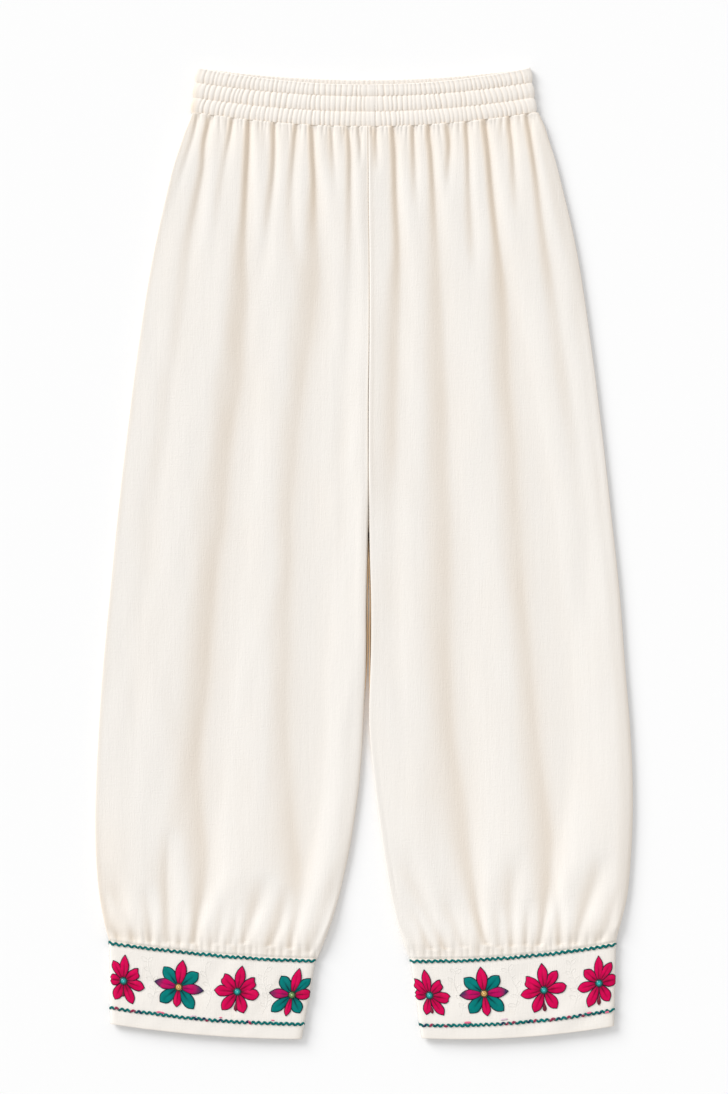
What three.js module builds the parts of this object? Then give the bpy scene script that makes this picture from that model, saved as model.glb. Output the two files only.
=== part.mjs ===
// Pull-on balloon trousers laid flat on a table: gathered three-row elastic waistband, four long leg panels
// and two wide cuffs with wavy trims and small domed beads. Millimetres, +Z up.
// X runs across the garment (viewer's right is +X), +Y points to the waist, Z = 0 is the table.
// The underside lies on the table, the front panels lie on the back panels, and every fold edge at the sides
// is a soft roll where a front and a back panel meet at a seam 0.3 mm wide.
import * as THREE from "three";

// ---------- driving dimensions ----------
const CLOTH = 1.2; // leg cloth wall
const CUFF_CLOTH = 1.6; // cuff wall, folded double at the hem
const BAND = 2.8; // waistband wall: casing with elastic in it
const SEAM = 0.3; // gap between sewn pieces
const ROLL = 4.6; // how far a rolled fold edge reaches in from the outline
const LOFT = 4.4; // height of a roll above its seam
const SEAM_Z = 5.0; // height of the side seams along the legs
const BAND_SEAM_Z = 3.5; // height of the side seams at the waistband
const CUFF_SEAM_Z = 4.5; // height of the side seams at the cuffs
const TROUGH_Z = 3.9; // middle of the front cloth where it lies on the back
const CUFF_UNDER = 1.9; // the cuffs' underside, carried by the beads sewn on it
const CUFF_FRONT_Z = 6.4; // middle of the cuffs' front wall
const BAND_LENS = 2.2; // how far the waist mouth stands open at its middle
const CUFF_LENS = 0.7;
const CENTRE_X = 3.1; // centre front and centre back seams of the legs
const BAND_X = 1.2; // middle of the waistband
const BAND_SEAM_X = 10.9; // centre front seam of the waistband
const CROTCH_Y = 41.5; // where the two legs part
const TRIM_W = 3.2; // wavy trim, its whole reach
const TRIM_T = 0.8;
const BEAD_R = 4.0; // domed bead at the middle of each flower
const BEAD_H = 1.6;

// Outline of both legs, a row for each height: outer edges and inner edges of the left and the right leg.
const LEG_OUTLINE = [
  { y: 443.0, lo: -171.7, li: 3.1, ri: 3.1, ro: 173.5 },
  { y: 428.0, lo: -176.9, li: 3.1, ri: 3.1, ro: 180.3 },
  { y: 415.5, lo: -180.8, li: 3.1, ri: 3.1, ro: 184.2 },
  { y: 395.5, lo: -187.7, li: 3.1, ri: 3.1, ro: 190.5 },
  { y: 355.5, lo: -197.9, li: 3.1, ri: 3.1, ro: 200.3 },
  { y: 295.5, lo: -210.8, li: 3.1, ri: 3.1, ro: 212.3 },
  { y: 215.5, lo: -223.8, li: 3.1, ri: 3.1, ro: 224.4 },
  { y: 115.5, lo: -236.8, li: 3.1, ri: 3.1, ro: 237.0 },
  { y: 41.5, lo: -245.3, li: 3.1, ri: 3.1, ro: 245.2 },
  { y: -44.5, lo: -253.8, li: 2.3, ri: 4.0, ro: 254.2 },
  { y: -120.5, lo: -260.8, li: 0.9, ri: 3.2, ro: 259.8 },
  { y: -164.5, lo: -263.8, li: -1.6, ri: 3.4, ro: 263.5 },
  { y: -224.5, lo: -266.8, li: -6.2, ri: 9.6, ro: 266.5 },
  { y: -264.5, lo: -267.8, li: -11.3, ri: 14.6, ro: 266.5 },
  { y: -304.5, lo: -266.8, li: -17.6, ri: 20.4, ro: 264.5 },
  { y: -344.5, lo: -262.8, li: -26.4, ri: 27.5, ro: 260.5 },
  { y: -364.5, lo: -258.9, li: -32.4, ri: 32.4, ro: 256.6 },
  { y: -384.5, lo: -254.6, li: -39.6, ri: 38.2, ro: 251.4 },
  { y: -406.0, lo: -253.0, li: -48.4, ri: 46.4, ro: 249.6 },
];
// Corners of each cuff: outer and inner end of its top edge and of its hem, and how far its middle hangs below them.
const CUFFS = {
  left: { topOut: [-255.2, -385.0], topIn: [-48.5, -402.4], hemIn: [-62.7, -483.0], hemOut: [-254.0, -467.8], dip: 3.6 },
  right: { topOut: [251.3, -386.2], topIn: [45.3, -402.8], hemIn: [56.9, -482.1], hemOut: [249.3, -470.0], dip: 5.2 },
};
// Distances down a cuff, as a share of its depth, of its two wavy trims and its row of beads.
const CUFF_ROWS = { upperTrim: 0.022, lowerTrim: 0.815, beads: 0.452 };
// Bead places across a cuff, from its left end, as a share of its width.
const BEADS = {
  left: { front: [0.062, 0.342, 0.637, 0.918], back: [0.2, 0.485, 0.77] },
  right: { front: [0.075, 0.35, 0.652, 0.925], back: [0.205, 0.49, 0.78] },
};
// Stitch rows of the waistband: height at the middle, how far both ends rise above it, half width.
const BAND_ROWS = [
  { mid: 475.5, rise: 12.0, half: 166.8 }, // top edge of the back
  { mid: 470.1, rise: 17.4, half: 166.8 }, // top edge of the front
  { mid: 458.3, rise: 14.2, half: 168.8 },
  { mid: 443.0, rise: 14.6, half: 170.9 },
  { mid: 428.1, rise: 14.9, half: 172.9 },
];
const BAND_BULGE = 1.1; // how far each elastic row stands out between its stitch rows

// Large folds of the leg fronts: x at the upper and lower end, the heights they run between, width and rise.
const FOLDS = [
  { xa: -150, ya: 430, xb: -205, yb: 120, w: 15, h: 3.6 },
  { xa: -118, ya: 432, xb: -150, yb: -60, w: 18, h: 4.6 },
  { xa: -86, ya: 432, xb: -118, yb: 60, w: 15, h: 3.8 },
  { xa: -58, ya: 430, xb: -76, yb: -160, w: 18, h: 4.8 },
  { xa: -24, ya: 428, xb: -30, yb: -80, w: 15, h: 4.2 },
  { xa: 22, ya: 428, xb: 26, yb: -40, w: 15, h: 4.2 },
  { xa: 52, ya: 430, xb: 72, yb: -150, w: 18, h: 4.8 },
  { xa: 84, ya: 432, xb: 112, yb: 80, w: 15, h: 3.8 },
  { xa: 114, ya: 432, xb: 152, yb: -70, w: 18, h: 4.6 },
  { xa: 148, ya: 430, xb: 205, yb: 110, w: 15, h: 3.6 },
  { xa: -212, ya: 40, xb: -222, yb: -392, w: 17, h: 3.8 },
  { xa: -172, ya: -20, xb: -182, yb: -392, w: 18, h: 4.4 },
  { xa: -128, ya: 60, xb: -146, yb: -396, w: 18, h: 4.6 },
  { xa: -90, ya: -60, xb: -108, yb: -398, w: 16, h: 3.8 },
  { xa: -48, ya: 20, xb: -76, yb: -398, w: 17, h: 4.4 },
  { xa: 46, ya: 10, xb: 74, yb: -398, w: 17, h: 4.4 },
  { xa: 92, ya: -60, xb: 108, yb: -398, w: 16, h: 3.8 },
  { xa: 130, ya: 50, xb: 146, yb: -396, w: 18, h: 4.6 },
  { xa: 172, ya: -30, xb: 182, yb: -394, w: 18, h: 4.4 },
  { xa: 214, ya: 30, xb: 220, yb: -392, w: 17, h: 3.8 },
];
const GATHER = { waistPitch: 14.5, cuffPitch: 17.0, rise: 1.1, waistRun: 70, cuffRun: 60 };

// ---------- small tools ----------
const clamp = (x, a, b) => Math.min(b, Math.max(a, x));
const mix = (a, b, t) => a + (b - a) * t;
const smooth = (a, b, x) => {
  const t = clamp((x - a) / (b - a), 0, 1);
  return t * t * (3 - 2 * t);
};
// A smooth curve through the table's rows, which go from the highest y to the lowest.
function outline(key, y) {
  const T = LEG_OUTLINE;
  if (y >= T[0].y) return T[0][key];
  const n = T.length - 1;
  if (y <= T[n].y) return T[n][key];
  let i = 0;
  while (y < T[i + 1].y) i++;
  const slope = (k) => {
    const a = T[Math.max(k - 1, 0)], b = T[Math.min(k + 1, n)];
    return (b[key] - a[key]) / (b.y - a.y);
  };
  const h = T[i + 1].y - T[i].y, t = (y - T[i].y) / h;
  const p0 = T[i][key], p1 = T[i + 1][key], m0 = slope(i) * h, m1 = slope(i + 1) * h;
  const t2 = t * t, t3 = t2 * t;
  return (2 * t3 - 3 * t2 + 1) * p0 + (t3 - 2 * t2 + t) * m0 + (-2 * t3 + 3 * t2) * p1 + (t3 - t2) * m1;
}
// Height on the page of a waistband row at x; its last few millimetres at both ends run level.
const bandRow = (k, x) => BAND_ROWS[k].mid + BAND_ROWS[k].rise * Math.pow(Math.min(Math.abs(x - BAND_X), 166) / BAND_ROWS[k].half, 2);
const bandLens = (x) => BAND_LENS * Math.max(0, 1 - Math.pow((x - BAND_X) / 166, 2));

// A point on a cuff's plan: s from its left end to its right end, t from its top edge to its hem.
function cuffPlan(side, s, t) {
  const c = CUFFS[side];
  const [a, b, d, e] = side === "left" ? [c.topOut, c.topIn, c.hemIn, c.hemOut] : [c.topIn, c.topOut, c.hemOut, c.hemIn];
  const top = [mix(a[0], b[0], s), mix(a[1], b[1], s)], hem = [mix(e[0], d[0], s), mix(e[1], d[1], s)];
  return [mix(top[0], hem[0], t), mix(top[1], hem[1], t) - 4 * c.dip * s * (1 - s)];
}
// Share of a cuff's width at x, and the height on the page of its top edge there.
function cuffShare(side, x) {
  const a = cuffPlan(side, 0, 0)[0], b = cuffPlan(side, 1, 0)[0];
  return clamp((x - a) / (b - a), 0, 1);
}
const cuffTop = (side, x) => cuffPlan(side, cuffShare(side, x), 0)[1];

// Closes two grids of points, the outer and the inner face of one piece of cloth, into one solid.
function shell(outer, inner) {
  const rows = outer.length, cols = outer[0].length, pos = [], idx = [];
  for (const g of [outer, inner]) for (const row of g) for (const p of row) pos.push(p[0], p[1], p[2]);
  const A = (r, c) => r * cols + c, B = (r, c) => rows * cols + r * cols + c;
  const quad = (a, b, c, d) => idx.push(a, b, c, a, c, d);
  for (let r = 0; r < rows - 1; r++)
    for (let c = 0; c < cols - 1; c++) {
      quad(A(r, c), A(r + 1, c), A(r + 1, c + 1), A(r, c + 1));
      quad(B(r, c), B(r, c + 1), B(r + 1, c + 1), B(r + 1, c));
    }
  for (let c = 0; c < cols - 1; c++) {
    quad(A(0, c), A(0, c + 1), B(0, c + 1), B(0, c));
    quad(A(rows - 1, c + 1), A(rows - 1, c), B(rows - 1, c), B(rows - 1, c + 1));
  }
  for (let r = 0; r < rows - 1; r++) {
    quad(A(r + 1, 0), A(r, 0), B(r, 0), B(r + 1, 0));
    quad(A(r, cols - 1), A(r + 1, cols - 1), B(r + 1, cols - 1), B(r, cols - 1));
  }
  let vol = 0;
  const P = (i) => [pos[3 * i], pos[3 * i + 1], pos[3 * i + 2]];
  for (let i = 0; i < idx.length; i += 3) {
    const [a, b, c] = [P(idx[i]), P(idx[i + 1]), P(idx[i + 2])];
    vol += a[0] * (b[1] * c[2] - b[2] * c[1]) - a[1] * (b[0] * c[2] - b[2] * c[0]) + a[2] * (b[0] * c[1] - b[1] * c[0]);
  }
  if (vol < 0) for (let i = 0; i < idx.length; i += 3) [idx[i + 1], idx[i + 2]] = [idx[i + 2], idx[i + 1]];
  const g = new THREE.BufferGeometry();
  g.setAttribute("position", new THREE.Float32BufferAttribute(pos, 3));
  g.setIndex(idx);
  g.computeVertexNormals();
  return g;
}

// Normals of a grid of points; turn is 1 where they already look outward and -1 where they have to be turned round.
function normals(grid, turn) {
  const R = grid.length, C = grid[0].length, at = (r, c) => new THREE.Vector3(...grid[r][c]);
  return grid.map((row, r) =>
    row.map((p, c) => {
      const across = at(r, Math.min(c + 1, C - 1)).sub(at(r, Math.max(c - 1, 0)));
      const down = at(Math.min(r + 1, R - 1), c).sub(at(Math.max(r - 1, 0), c));
      return down.cross(across).normalize().multiplyScalar(turn);
    }),
  );
}
const moved = (grid, n, by) => grid.map((row, r) => row.map((p, c) => [p[0] + n[r][c].x * by, p[1] + n[r][c].y * by, p[2] + n[r][c].z * by]));

// ---------- leg panels ----------
function foldHeight(x, y) {
  let z = 0;
  for (const f of FOLDS) {
    const t = (f.ya - y) / (f.ya - f.yb);
    if (t < -0.08 || t > 1.08) continue;
    const xc = mix(f.xa, f.xb, t), q = (x - xc) / f.w;
    z += f.h * Math.exp(-q * q) * smooth(-0.08, 0.06, t) * (1 - smooth(0.55, 1.08, t) * (f.yb > -300 ? 1 : 0.45));
  }
  return z;
}
// How far the front's inner edge has gone down from the open centre seam (0) to the inseam (1).
const inseam = (y) => smooth(CROTCH_Y + 110, CROTCH_Y + 8, y);
const innerRoll = (y) => mix(1.1, ROLL, smooth(CROTCH_Y + 10, CROTCH_Y - 110, y));
const seamZ = (y) => mix(mix(SEAM_Z, BAND_SEAM_Z, smooth(330, 425, y)), CUFF_SEAM_Z, smooth(-330, -385, y));

// How far a panel's wall leans from lying flat (0) to standing on its edge (1) at its inner edge.
const lean = (y) => { const b = inseam(y); return b / Math.hypot(b, 1 - b); };

function legGrid(side, face, nAcross, nRows) {
  const sg = side === "left" ? 1 : -1, half = CLOTH / 2;
  const outEdge = (y) => outline(side === "left" ? "lo" : "ro", y) + sg * half;
  const inEdge = (y) => outline(side === "left" ? "li" : "ri", y) - sg * (SEAM / 2 + half * lean(y));
  const cols = [];
  for (const a of [0, 30, 60, 90]) cols.push({ a, edge: "out" });
  for (let c = 1; c < nAcross; c++) cols.push({ u: c / nAcross });
  for (const a of [90, 60, 30, 0]) cols.push({ a, edge: "in" });
  const grid = [];
  for (let r = 0; r <= nRows; r++) {
    // rows lie closer together near the waist and the cuff, where the gathers are
    const v0 = r / nRows, v = mix(v0, 0.5 - 0.5 * Math.cos(Math.PI * v0), 0.45), row = [];
    for (const col of cols) {
      const q = col.edge ? Math.sin((col.a * Math.PI) / 180) : 1, c = col.edge ? 1 - Math.cos((col.a * Math.PI) / 180) : 0;
      // the row bends with the seam above it and the seam below it, so its x and y are found together
      let x = outline(side === "left" ? "lo" : "ro", 0) / 2, y = 0;
      for (let pass = 0; pass < 6; pass++) {
        y = mix(bandRow(4, x) - SEAM, cuffTop(side, x) + SEAM, v);
        const o = outEdge(y), i = inEdge(y), rIn = innerRoll(y);
        if (col.edge === "out") x = o + sg * ROLL * c;
        else if (col.edge === "in") x = i - sg * rIn * c;
        else x = mix(o + sg * ROLL, i - sg * rIn, col.u);
      }
      const yTop = bandRow(4, x) - SEAM, yBot = cuffTop(side, x) + SEAM, s = cuffShare(side, x);
      const zs = seamZ(y), b = inseam(y), dOut = Math.abs(x - outEdge(y)), dIn = Math.abs(inEdge(y) - x);
      const top = smooth(48, 0, yTop - y), bot = smooth(26, 0, y - yBot);
      let base, foot = zs + (face === "front" ? SEAM : -SEAM) / 2;
      if (face === "front") {
        const crest = zs + LOFT;
        // the cloth lies on the back panel, higher beside its rolled edges, level with the band and the cuff at its ends
        base = TROUGH_Z + (crest - TROUGH_Z) * Math.max(1 - smooth(ROLL, ROLL + 26, dOut), b * (1 - smooth(ROLL, ROLL + 26, dIn)));
        base += foldHeight(x, y) * smooth(0, 22, dOut) * mix(1, smooth(0, 18, dIn), b);
        base += GATHER.rise * (1 + Math.cos((2 * Math.PI * (x - CENTRE_X)) / GATHER.waistPitch)) * smooth(GATHER.waistRun, 8, yTop - y) * smooth(4, 20, dOut);
        base += GATHER.rise * (1 + Math.cos((2 * Math.PI * (x - CENTRE_X)) / GATHER.cuffPitch)) * smooth(GATHER.cuffRun, 6, y - yBot) * smooth(4, 20, dOut) * smooth(4, 20, dIn);
        base += 2.2 * Math.exp(-Math.pow((y - yBot - 24) / 16, 2)) * smooth(3, 24, dOut) * smooth(3, 24, dIn);
        base = mix(base, BAND_SEAM_Z + 2.0 + bandLens(x), top);
        base = mix(base, CUFF_FRONT_Z + CUFF_LENS * 4 * s * (1 - s), bot);
        if (col.edge === "in") foot = mix(base - 0.6 * (1 - top), foot, b);
      } else {
        base = CUFF_UNDER * (1 - smooth(0, 34, y - yBot)) + half;
        if (col.edge === "in") foot = mix(base, foot, b);
      }
      row.push([x, y, col.edge ? mix(foot, base, q) : base]);
    }
    grid.push(row);
  }
  return grid;
}
function legPanel(side, face, nAcross, nRows) {
  const mid = legGrid(side, face, nAcross, nRows), up = face === "front" ? 1 : -1, sg = side === "left" ? 1 : -1;
  const n = normals(mid, sg * up);
  n.forEach((row, r) => {
    // the walls stand square to the seams at all four sides
    if (r === 0 || r === n.length - 1) for (const v of row) (v.y = 0), v.normalize();
    const b = inseam(mid[r][row.length - 1][1]);
    row[0].set(-sg, 0, 0);
    row[row.length - 1].set(sg, 0, 0);
    for (let c = row.length - 4; c < row.length; c++) row[c].multiplyScalar(b).add(new THREE.Vector3(0, 0, up * (1 - b))).normalize();
  });
  const out = moved(mid, n, CLOTH / 2), inn = moved(mid, n, -CLOTH / 2);
  // the underside lies exactly on the table wherever it is within a hair of it
  if (face === "back") for (const row of out) for (const p of row) if (p[2] < 0.05) p[2] = 0;
  return shell(out, inn);
}

// ---------- waistband ----------
function bandPiece(face, x0, x1, nAcross, roundStart, roundEnd) {
  const cols = [];
  if (roundStart) for (const k of [0, 30, 60]) cols.push({ a: k, end: -1 });
  for (let i = 0; i <= nAcross; i++) cols.push({ u: i / nAcross });
  if (roundEnd) for (const k of [60, 30, 0]) cols.push({ a: k, end: 1 });
  const outer = [], inner = [];
  const first = face === "front" ? 1 : 0;
  const RX = 5.5;
  for (let k = 0; k < 3; k++) {
    for (let j = 0; j < 4; j++) pushRow(k, j / 4);
  }
  pushRow(2, 1);
  function pushRow(k, f) {
    const upRow = k === 0 ? first : k + 1, loRow = k + 2;
    const ro = [], ri = [];
    for (const col of cols) {
      const half = mix(BAND_ROWS[upRow].half, BAND_ROWS[loRow].half, f) + 1.3 * Math.sin(Math.PI * f);
      const lo = roundStart ? BAND_X - half : x0, hi = roundEnd ? BAND_X + half : x1;
      const inLo = roundStart ? lo + RX : lo, inHi = roundEnd ? hi - RX : hi;
      let x, q = 1;
      if (col.end === -1) (x = lo + RX * (1 - Math.cos((col.a * Math.PI) / 180))), (q = Math.sin((col.a * Math.PI) / 180));
      else if (col.end === 1) (x = hi - RX * (1 - Math.cos((col.a * Math.PI) / 180))), (q = Math.sin((col.a * Math.PI) / 180));
      else x = mix(inLo, inHi, col.u);
      const y = mix(bandRow(upRow, x), bandRow(loRow, x), f);
      // the cloth turns over the elastic at the top edge, so its first row is rounder than the others
      const bulge = BAND_BULGE * Math.sin(Math.PI * (k === 0 ? clamp(f * 0.85 + 0.15, 0, 1) : f));
      if (face === "front") {
        const zi = BAND_SEAM_Z + SEAM / 2 + bandLens(x), zo = zi + BAND + bulge;
        ri.push([x, y, zi]);
        ro.push([x, y, mix(zi + 1.0, zo, q)]);
      } else {
        const zi = BAND_SEAM_Z - SEAM / 2, zo = BAND_BULGE * 0.9 - bulge * 0.9;
        ri.push([x, y, zi]);
        ro.push([x, y, mix(zi - 1.0, Math.max(0, zo), q)]);
      }
    }
    outer.push(ro);
    inner.push(ri);
  }
  return shell(outer, inner);
}

// ---------- cuffs ----------
const CUFF_ROLL = 3.4;
// Middle of a cuff's wall at (s, t), or at an angle of its rolled ends. Returns x, y, z and the outward direction.
function cuffPoint(side, face, col, t) {
  const width = Math.abs(cuffPlan(side, 1, t)[0] - cuffPlan(side, 0, t)[0]);
  const e = CUFF_CLOTH / 2 / width, r = CUFF_ROLL / width;
  let s, q = 1, ang = 90;
  if (col.end === -1) (s = e + r * (1 - Math.cos((col.a * Math.PI) / 180))), (ang = col.a);
  else if (col.end === 1) (s = 1 - e - r * (1 - Math.cos((col.a * Math.PI) / 180))), (ang = col.a);
  else s = mix(e + r, 1 - e - r, col.u);
  q = Math.sin((ang * Math.PI) / 180);
  const [x, y] = cuffPlan(side, s, t);
  const flat = face === "front" ? CUFF_FRONT_Z + CUFF_LENS * 4 * s * (1 - s) : CUFF_UNDER + CUFF_CLOTH / 2;
  const foot = CUFF_SEAM_Z + (face === "front" ? SEAM / 2 : -SEAM / 2);
  const z = mix(foot, flat, q), up = face === "front" ? 1 : -1;
  const c = Math.cos((ang * Math.PI) / 180);
  return { p: [x, y, z], n: [(col.end ?? 0) * c, 0, up * q] };
}
function cuffCols(n) {
  const cols = [];
  for (const a of [0, 30, 60]) cols.push({ a, end: -1 });
  for (let i = 0; i <= n; i++) cols.push({ u: i / n });
  for (const a of [60, 30, 0]) cols.push({ a, end: 1 });
  return cols;
}
function cuffGrid(side, face, cols, ts, from, to) {
  const at = (by) => ts.map((t) => cols.map((col) => {
    const { p, n } = cuffPoint(side, face, col, t);
    return [p[0] + n[0] * by, p[1] + n[1] * by, p[2] + n[2] * by];
  }));
  return shell(at(to), at(from));
}
const cuffDepth = (side) => Math.abs(cuffPlan(side, 0.5, 1)[1] - cuffPlan(side, 0.5, 0)[1]);
const cuffPanel = (side, face) => cuffGrid(side, face, cuffCols(8), [0, 0.3, 0.65, 1], -CUFF_CLOTH / 2, CUFF_CLOTH / 2);
function trim(side, face, where) {
  const h = TRIM_W / 2 / cuffDepth(side), base = CUFF_CLOTH / 2 + SEAM;
  return cuffGrid(side, face, cuffCols(8), [where - h + 0.012, where + h + 0.012], base, base + TRIM_T);
}
function bead(side, face, s, t) {
  const [x, y] = cuffPlan(side, s, t), up = face === "front" ? 1 : -1;
  const z = (face === "front" ? CUFF_FRONT_Z + CUFF_LENS * 4 * s * (1 - s) + CUFF_CLOTH / 2 : CUFF_UNDER) + up * SEAM;
  const profile = [new THREE.Vector2(0, 0), new THREE.Vector2(BEAD_R, 0), new THREE.Vector2(BEAD_R * 0.8, BEAD_H * 0.7), new THREE.Vector2(0, BEAD_H)];
  const g = new THREE.LatheGeometry(profile, 10);
  g.rotateX(Math.PI / 2); // the dome's axis from Y to Z
  if (up < 0) g.rotateX(Math.PI);
  return { g, at: [x, y, z] };
}

// ---------- the garment ----------
const cream = new THREE.MeshStandardMaterial({ color: 0xf3ede3, roughness: 0.85, metalness: 0 });
const cuffCream = new THREE.MeshStandardMaterial({ color: 0xf1eae0, roughness: 0.8, metalness: 0 });
const teal = new THREE.MeshStandardMaterial({ color: 0x0b6e69, roughness: 0.6, metalness: 0 });
const beadTeal = new THREE.MeshStandardMaterial({ color: 0x1c8f82, roughness: 0.3, metalness: 0 });
const beadGold = new THREE.MeshStandardMaterial({ color: 0xa98a3c, roughness: 0.35, metalness: 0.2 });

const garment = new THREE.Group();
const body = new THREE.Group();
garment.add(body);
function add(name, geometry, material, at) {
  const mesh = new THREE.Mesh(geometry, material);
  mesh.name = name;
  if (at) mesh.position.set(...at);
  body.add(mesh);
}
for (const side of ["left", "right"]) {
  add(`leg_front_${side}`, legPanel(side, "front", 22, 16), cream);
  add(`leg_back_${side}`, legPanel(side, "back", 9, 11), cream);
  for (const face of ["front", "back"]) {
    add(`cuff_${face}_${side}`, cuffPanel(side, face), cuffCream);
    add(`trim_upper_${face}_${side}`, trim(side, face, CUFF_ROWS.upperTrim), teal);
    add(`trim_lower_${face}_${side}`, trim(side, face, CUFF_ROWS.lowerTrim), teal);
    BEADS[side][face].forEach((s, i) => {
      const b = bead(side, face, s, CUFF_ROWS.beads);
      add(`bead_${face}_${side}_${i + 1}`, b.g, i % 2 ? beadGold : beadTeal, b.at);
    });
  }
}
add("waistband_front_left", bandPiece("front", -172, BAND_SEAM_X - SEAM / 2, 7, true, false), cream);
add("waistband_front_right", bandPiece("front", BAND_SEAM_X + SEAM / 2, 172, 7, false, true), cream);
add("waistband_back", bandPiece("back", -172, 172, 10, true, true), cream);

// the origin is the middle of the garment's box, on the table
garment.updateMatrixWorld(true);
const box = new THREE.Box3().setFromObject(garment);
body.position.set(-(box.min.x + box.max.x) / 2, -(box.min.y + box.max.y) / 2, -box.min.z);

export default garment;
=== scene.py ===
import bpy, math
import numpy as np
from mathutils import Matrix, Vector


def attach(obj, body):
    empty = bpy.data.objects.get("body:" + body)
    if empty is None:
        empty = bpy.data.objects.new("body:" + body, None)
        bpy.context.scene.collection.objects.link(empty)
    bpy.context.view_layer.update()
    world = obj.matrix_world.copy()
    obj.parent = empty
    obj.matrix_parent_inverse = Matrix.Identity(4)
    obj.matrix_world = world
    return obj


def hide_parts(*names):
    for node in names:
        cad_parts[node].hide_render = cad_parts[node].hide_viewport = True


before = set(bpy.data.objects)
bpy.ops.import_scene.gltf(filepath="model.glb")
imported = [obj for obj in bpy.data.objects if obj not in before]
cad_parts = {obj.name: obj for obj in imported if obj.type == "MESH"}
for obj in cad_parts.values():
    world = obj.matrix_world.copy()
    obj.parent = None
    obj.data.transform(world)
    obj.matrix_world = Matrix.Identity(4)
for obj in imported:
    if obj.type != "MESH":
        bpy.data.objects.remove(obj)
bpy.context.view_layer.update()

RNG = np.random.default_rng(29170)

# =====================================================================================
# Frame. Sizes below are in millimetres on the garment's own page: x to the viewer's right,
# y towards the waist, z up from the surface. SHIFT puts the page into the row's frame.
# =====================================================================================
MM = 0.001
SHIFT = np.array([0.713, -2.194, 0.0])
SEAM = 0.3

CLOTH = 0.9          # leg cloth as seen, wall
LEVEL = 7.7          # middle of the front cloth where it lies level
SIDE_Z = 3.9         # height of the side seams
CENTRE_X = 3.1       # centre front seam of the legs
BAND_X = 1.2         # middle of the waistband
BAND_SEAM_X = 10.9   # centre front seam of the waistband
BAND_SEAM_Z = 3.5
CUFF_SEAM_Z = 4.5
CUFF_WALL = 1.5
CUFF_UNDER = 1.9
CUFF_TOP = 6.4       # middle of the cuffs' front wall
CROTCH_Y = 41.5

OUTLINE = [  # y, left leg outer, left leg inner, right leg inner, right leg outer
    (443.0, -171.7, 3.1, 3.1, 173.5), (428.0, -176.9, 3.1, 3.1, 180.3), (415.5, -180.8, 3.1, 3.1, 184.2),
    (395.5, -187.7, 3.1, 3.1, 190.5), (355.5, -197.9, 3.1, 3.1, 200.3), (295.5, -210.8, 3.1, 3.1, 212.3),
    (215.5, -223.8, 3.1, 3.1, 224.4), (115.5, -236.8, 3.1, 3.1, 237.0), (41.5, -245.3, 3.1, 3.1, 245.2),
    (-44.5, -253.8, 2.3, 4.0, 254.2), (-120.5, -260.8, 0.9, 3.2, 259.8), (-164.5, -263.8, -1.6, 3.4, 263.5),
    (-224.5, -266.8, -6.2, 9.6, 266.5), (-264.5, -267.8, -11.3, 14.6, 266.5), (-304.5, -266.8, -17.6, 20.4, 264.5),
    (-344.5, -262.8, -26.4, 27.5, 260.5), (-364.5, -258.9, -32.4, 32.4, 256.6), (-384.5, -254.6, -39.6, 38.2, 251.4),
    (-406.0, -253.0, -48.4, 46.4, 249.6),
]
CUFF_PLAN = {  # corners: top outer, top inner, hem inner, hem outer; how far the middle hangs below them
    "left": ((-255.2, -385.0), (-48.5, -402.4), (-62.7, -483.0), (-254.0, -467.8), 3.6),
    "right": ((251.3, -386.2), (45.3, -402.8), (56.9, -482.1), (249.3, -470.0), 5.2),
}
BAND_ROWS = [  # height at the middle, rise at both ends, half width
    (475.5, 12.0, 166.8), (470.1, 17.4, 166.8), (458.3, 14.2, 168.8), (443.0, 14.6, 170.9), (428.1, 14.9, 172.9),
]


def mix(a, b, t):
    return a + (b - a) * t


def smooth(a, b, x):
    t = np.clip((np.asarray(x, float) - a) / (b - a), 0.0, 1.0)
    return t * t * (3 - 2 * t)


def hermite(xs, ys, x):
    """Smooth curve through a short table; xs rising."""
    xs, ys = np.asarray(xs, float), np.asarray(ys, float)
    x = np.clip(x, xs[0], xs[-1])
    i = np.clip(np.searchsorted(xs, x) - 1, 0, len(xs) - 2)
    m = np.gradient(ys, xs)
    h = xs[i + 1] - xs[i]
    t = (x - xs[i]) / h
    t2, t3 = t * t, t * t * t
    return (2 * t3 - 3 * t2 + 1) * ys[i] + (t3 - 2 * t2 + t) * m[i] * h + (3 * t2 - 2 * t3) * ys[i + 1] + (t3 - t2) * m[i + 1] * h


_O = np.array(OUTLINE)[::-1]


def outline(col, y):
    return hermite(_O[:, 0], _O[:, col], y)


def band_row(k, x):
    mid, rise, half = BAND_ROWS[k]
    return mid + rise * (np.minimum(np.abs(x - BAND_X), 166.0) / half) ** 2


def band_lens(x):
    return 2.2 * np.maximum(0.0, 1 - ((x - BAND_X) / 166.0) ** 2)


def cuff_plan(side, s, t):
    to, ti, hi, ho, dip = CUFF_PLAN[side]
    a, b, d, e = (to, ti, hi, ho) if side == "left" else (ti, to, ho, hi)
    x = mix(mix(a[0], b[0], s), mix(e[0], d[0], s), t)
    y = mix(mix(a[1], b[1], s), mix(e[1], d[1], s), t) - 4 * dip * s * (1 - s)
    return x, y


def cuff_share(side, x):
    a, _ = cuff_plan(side, 0.0, 0.0)
    b, _ = cuff_plan(side, 1.0, 0.0)
    return np.clip((x - a) / (b - a), 0, 1)


def cuff_top(side, x):
    return cuff_plan(side, cuff_share(side, x), 0.0)[1]


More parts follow.
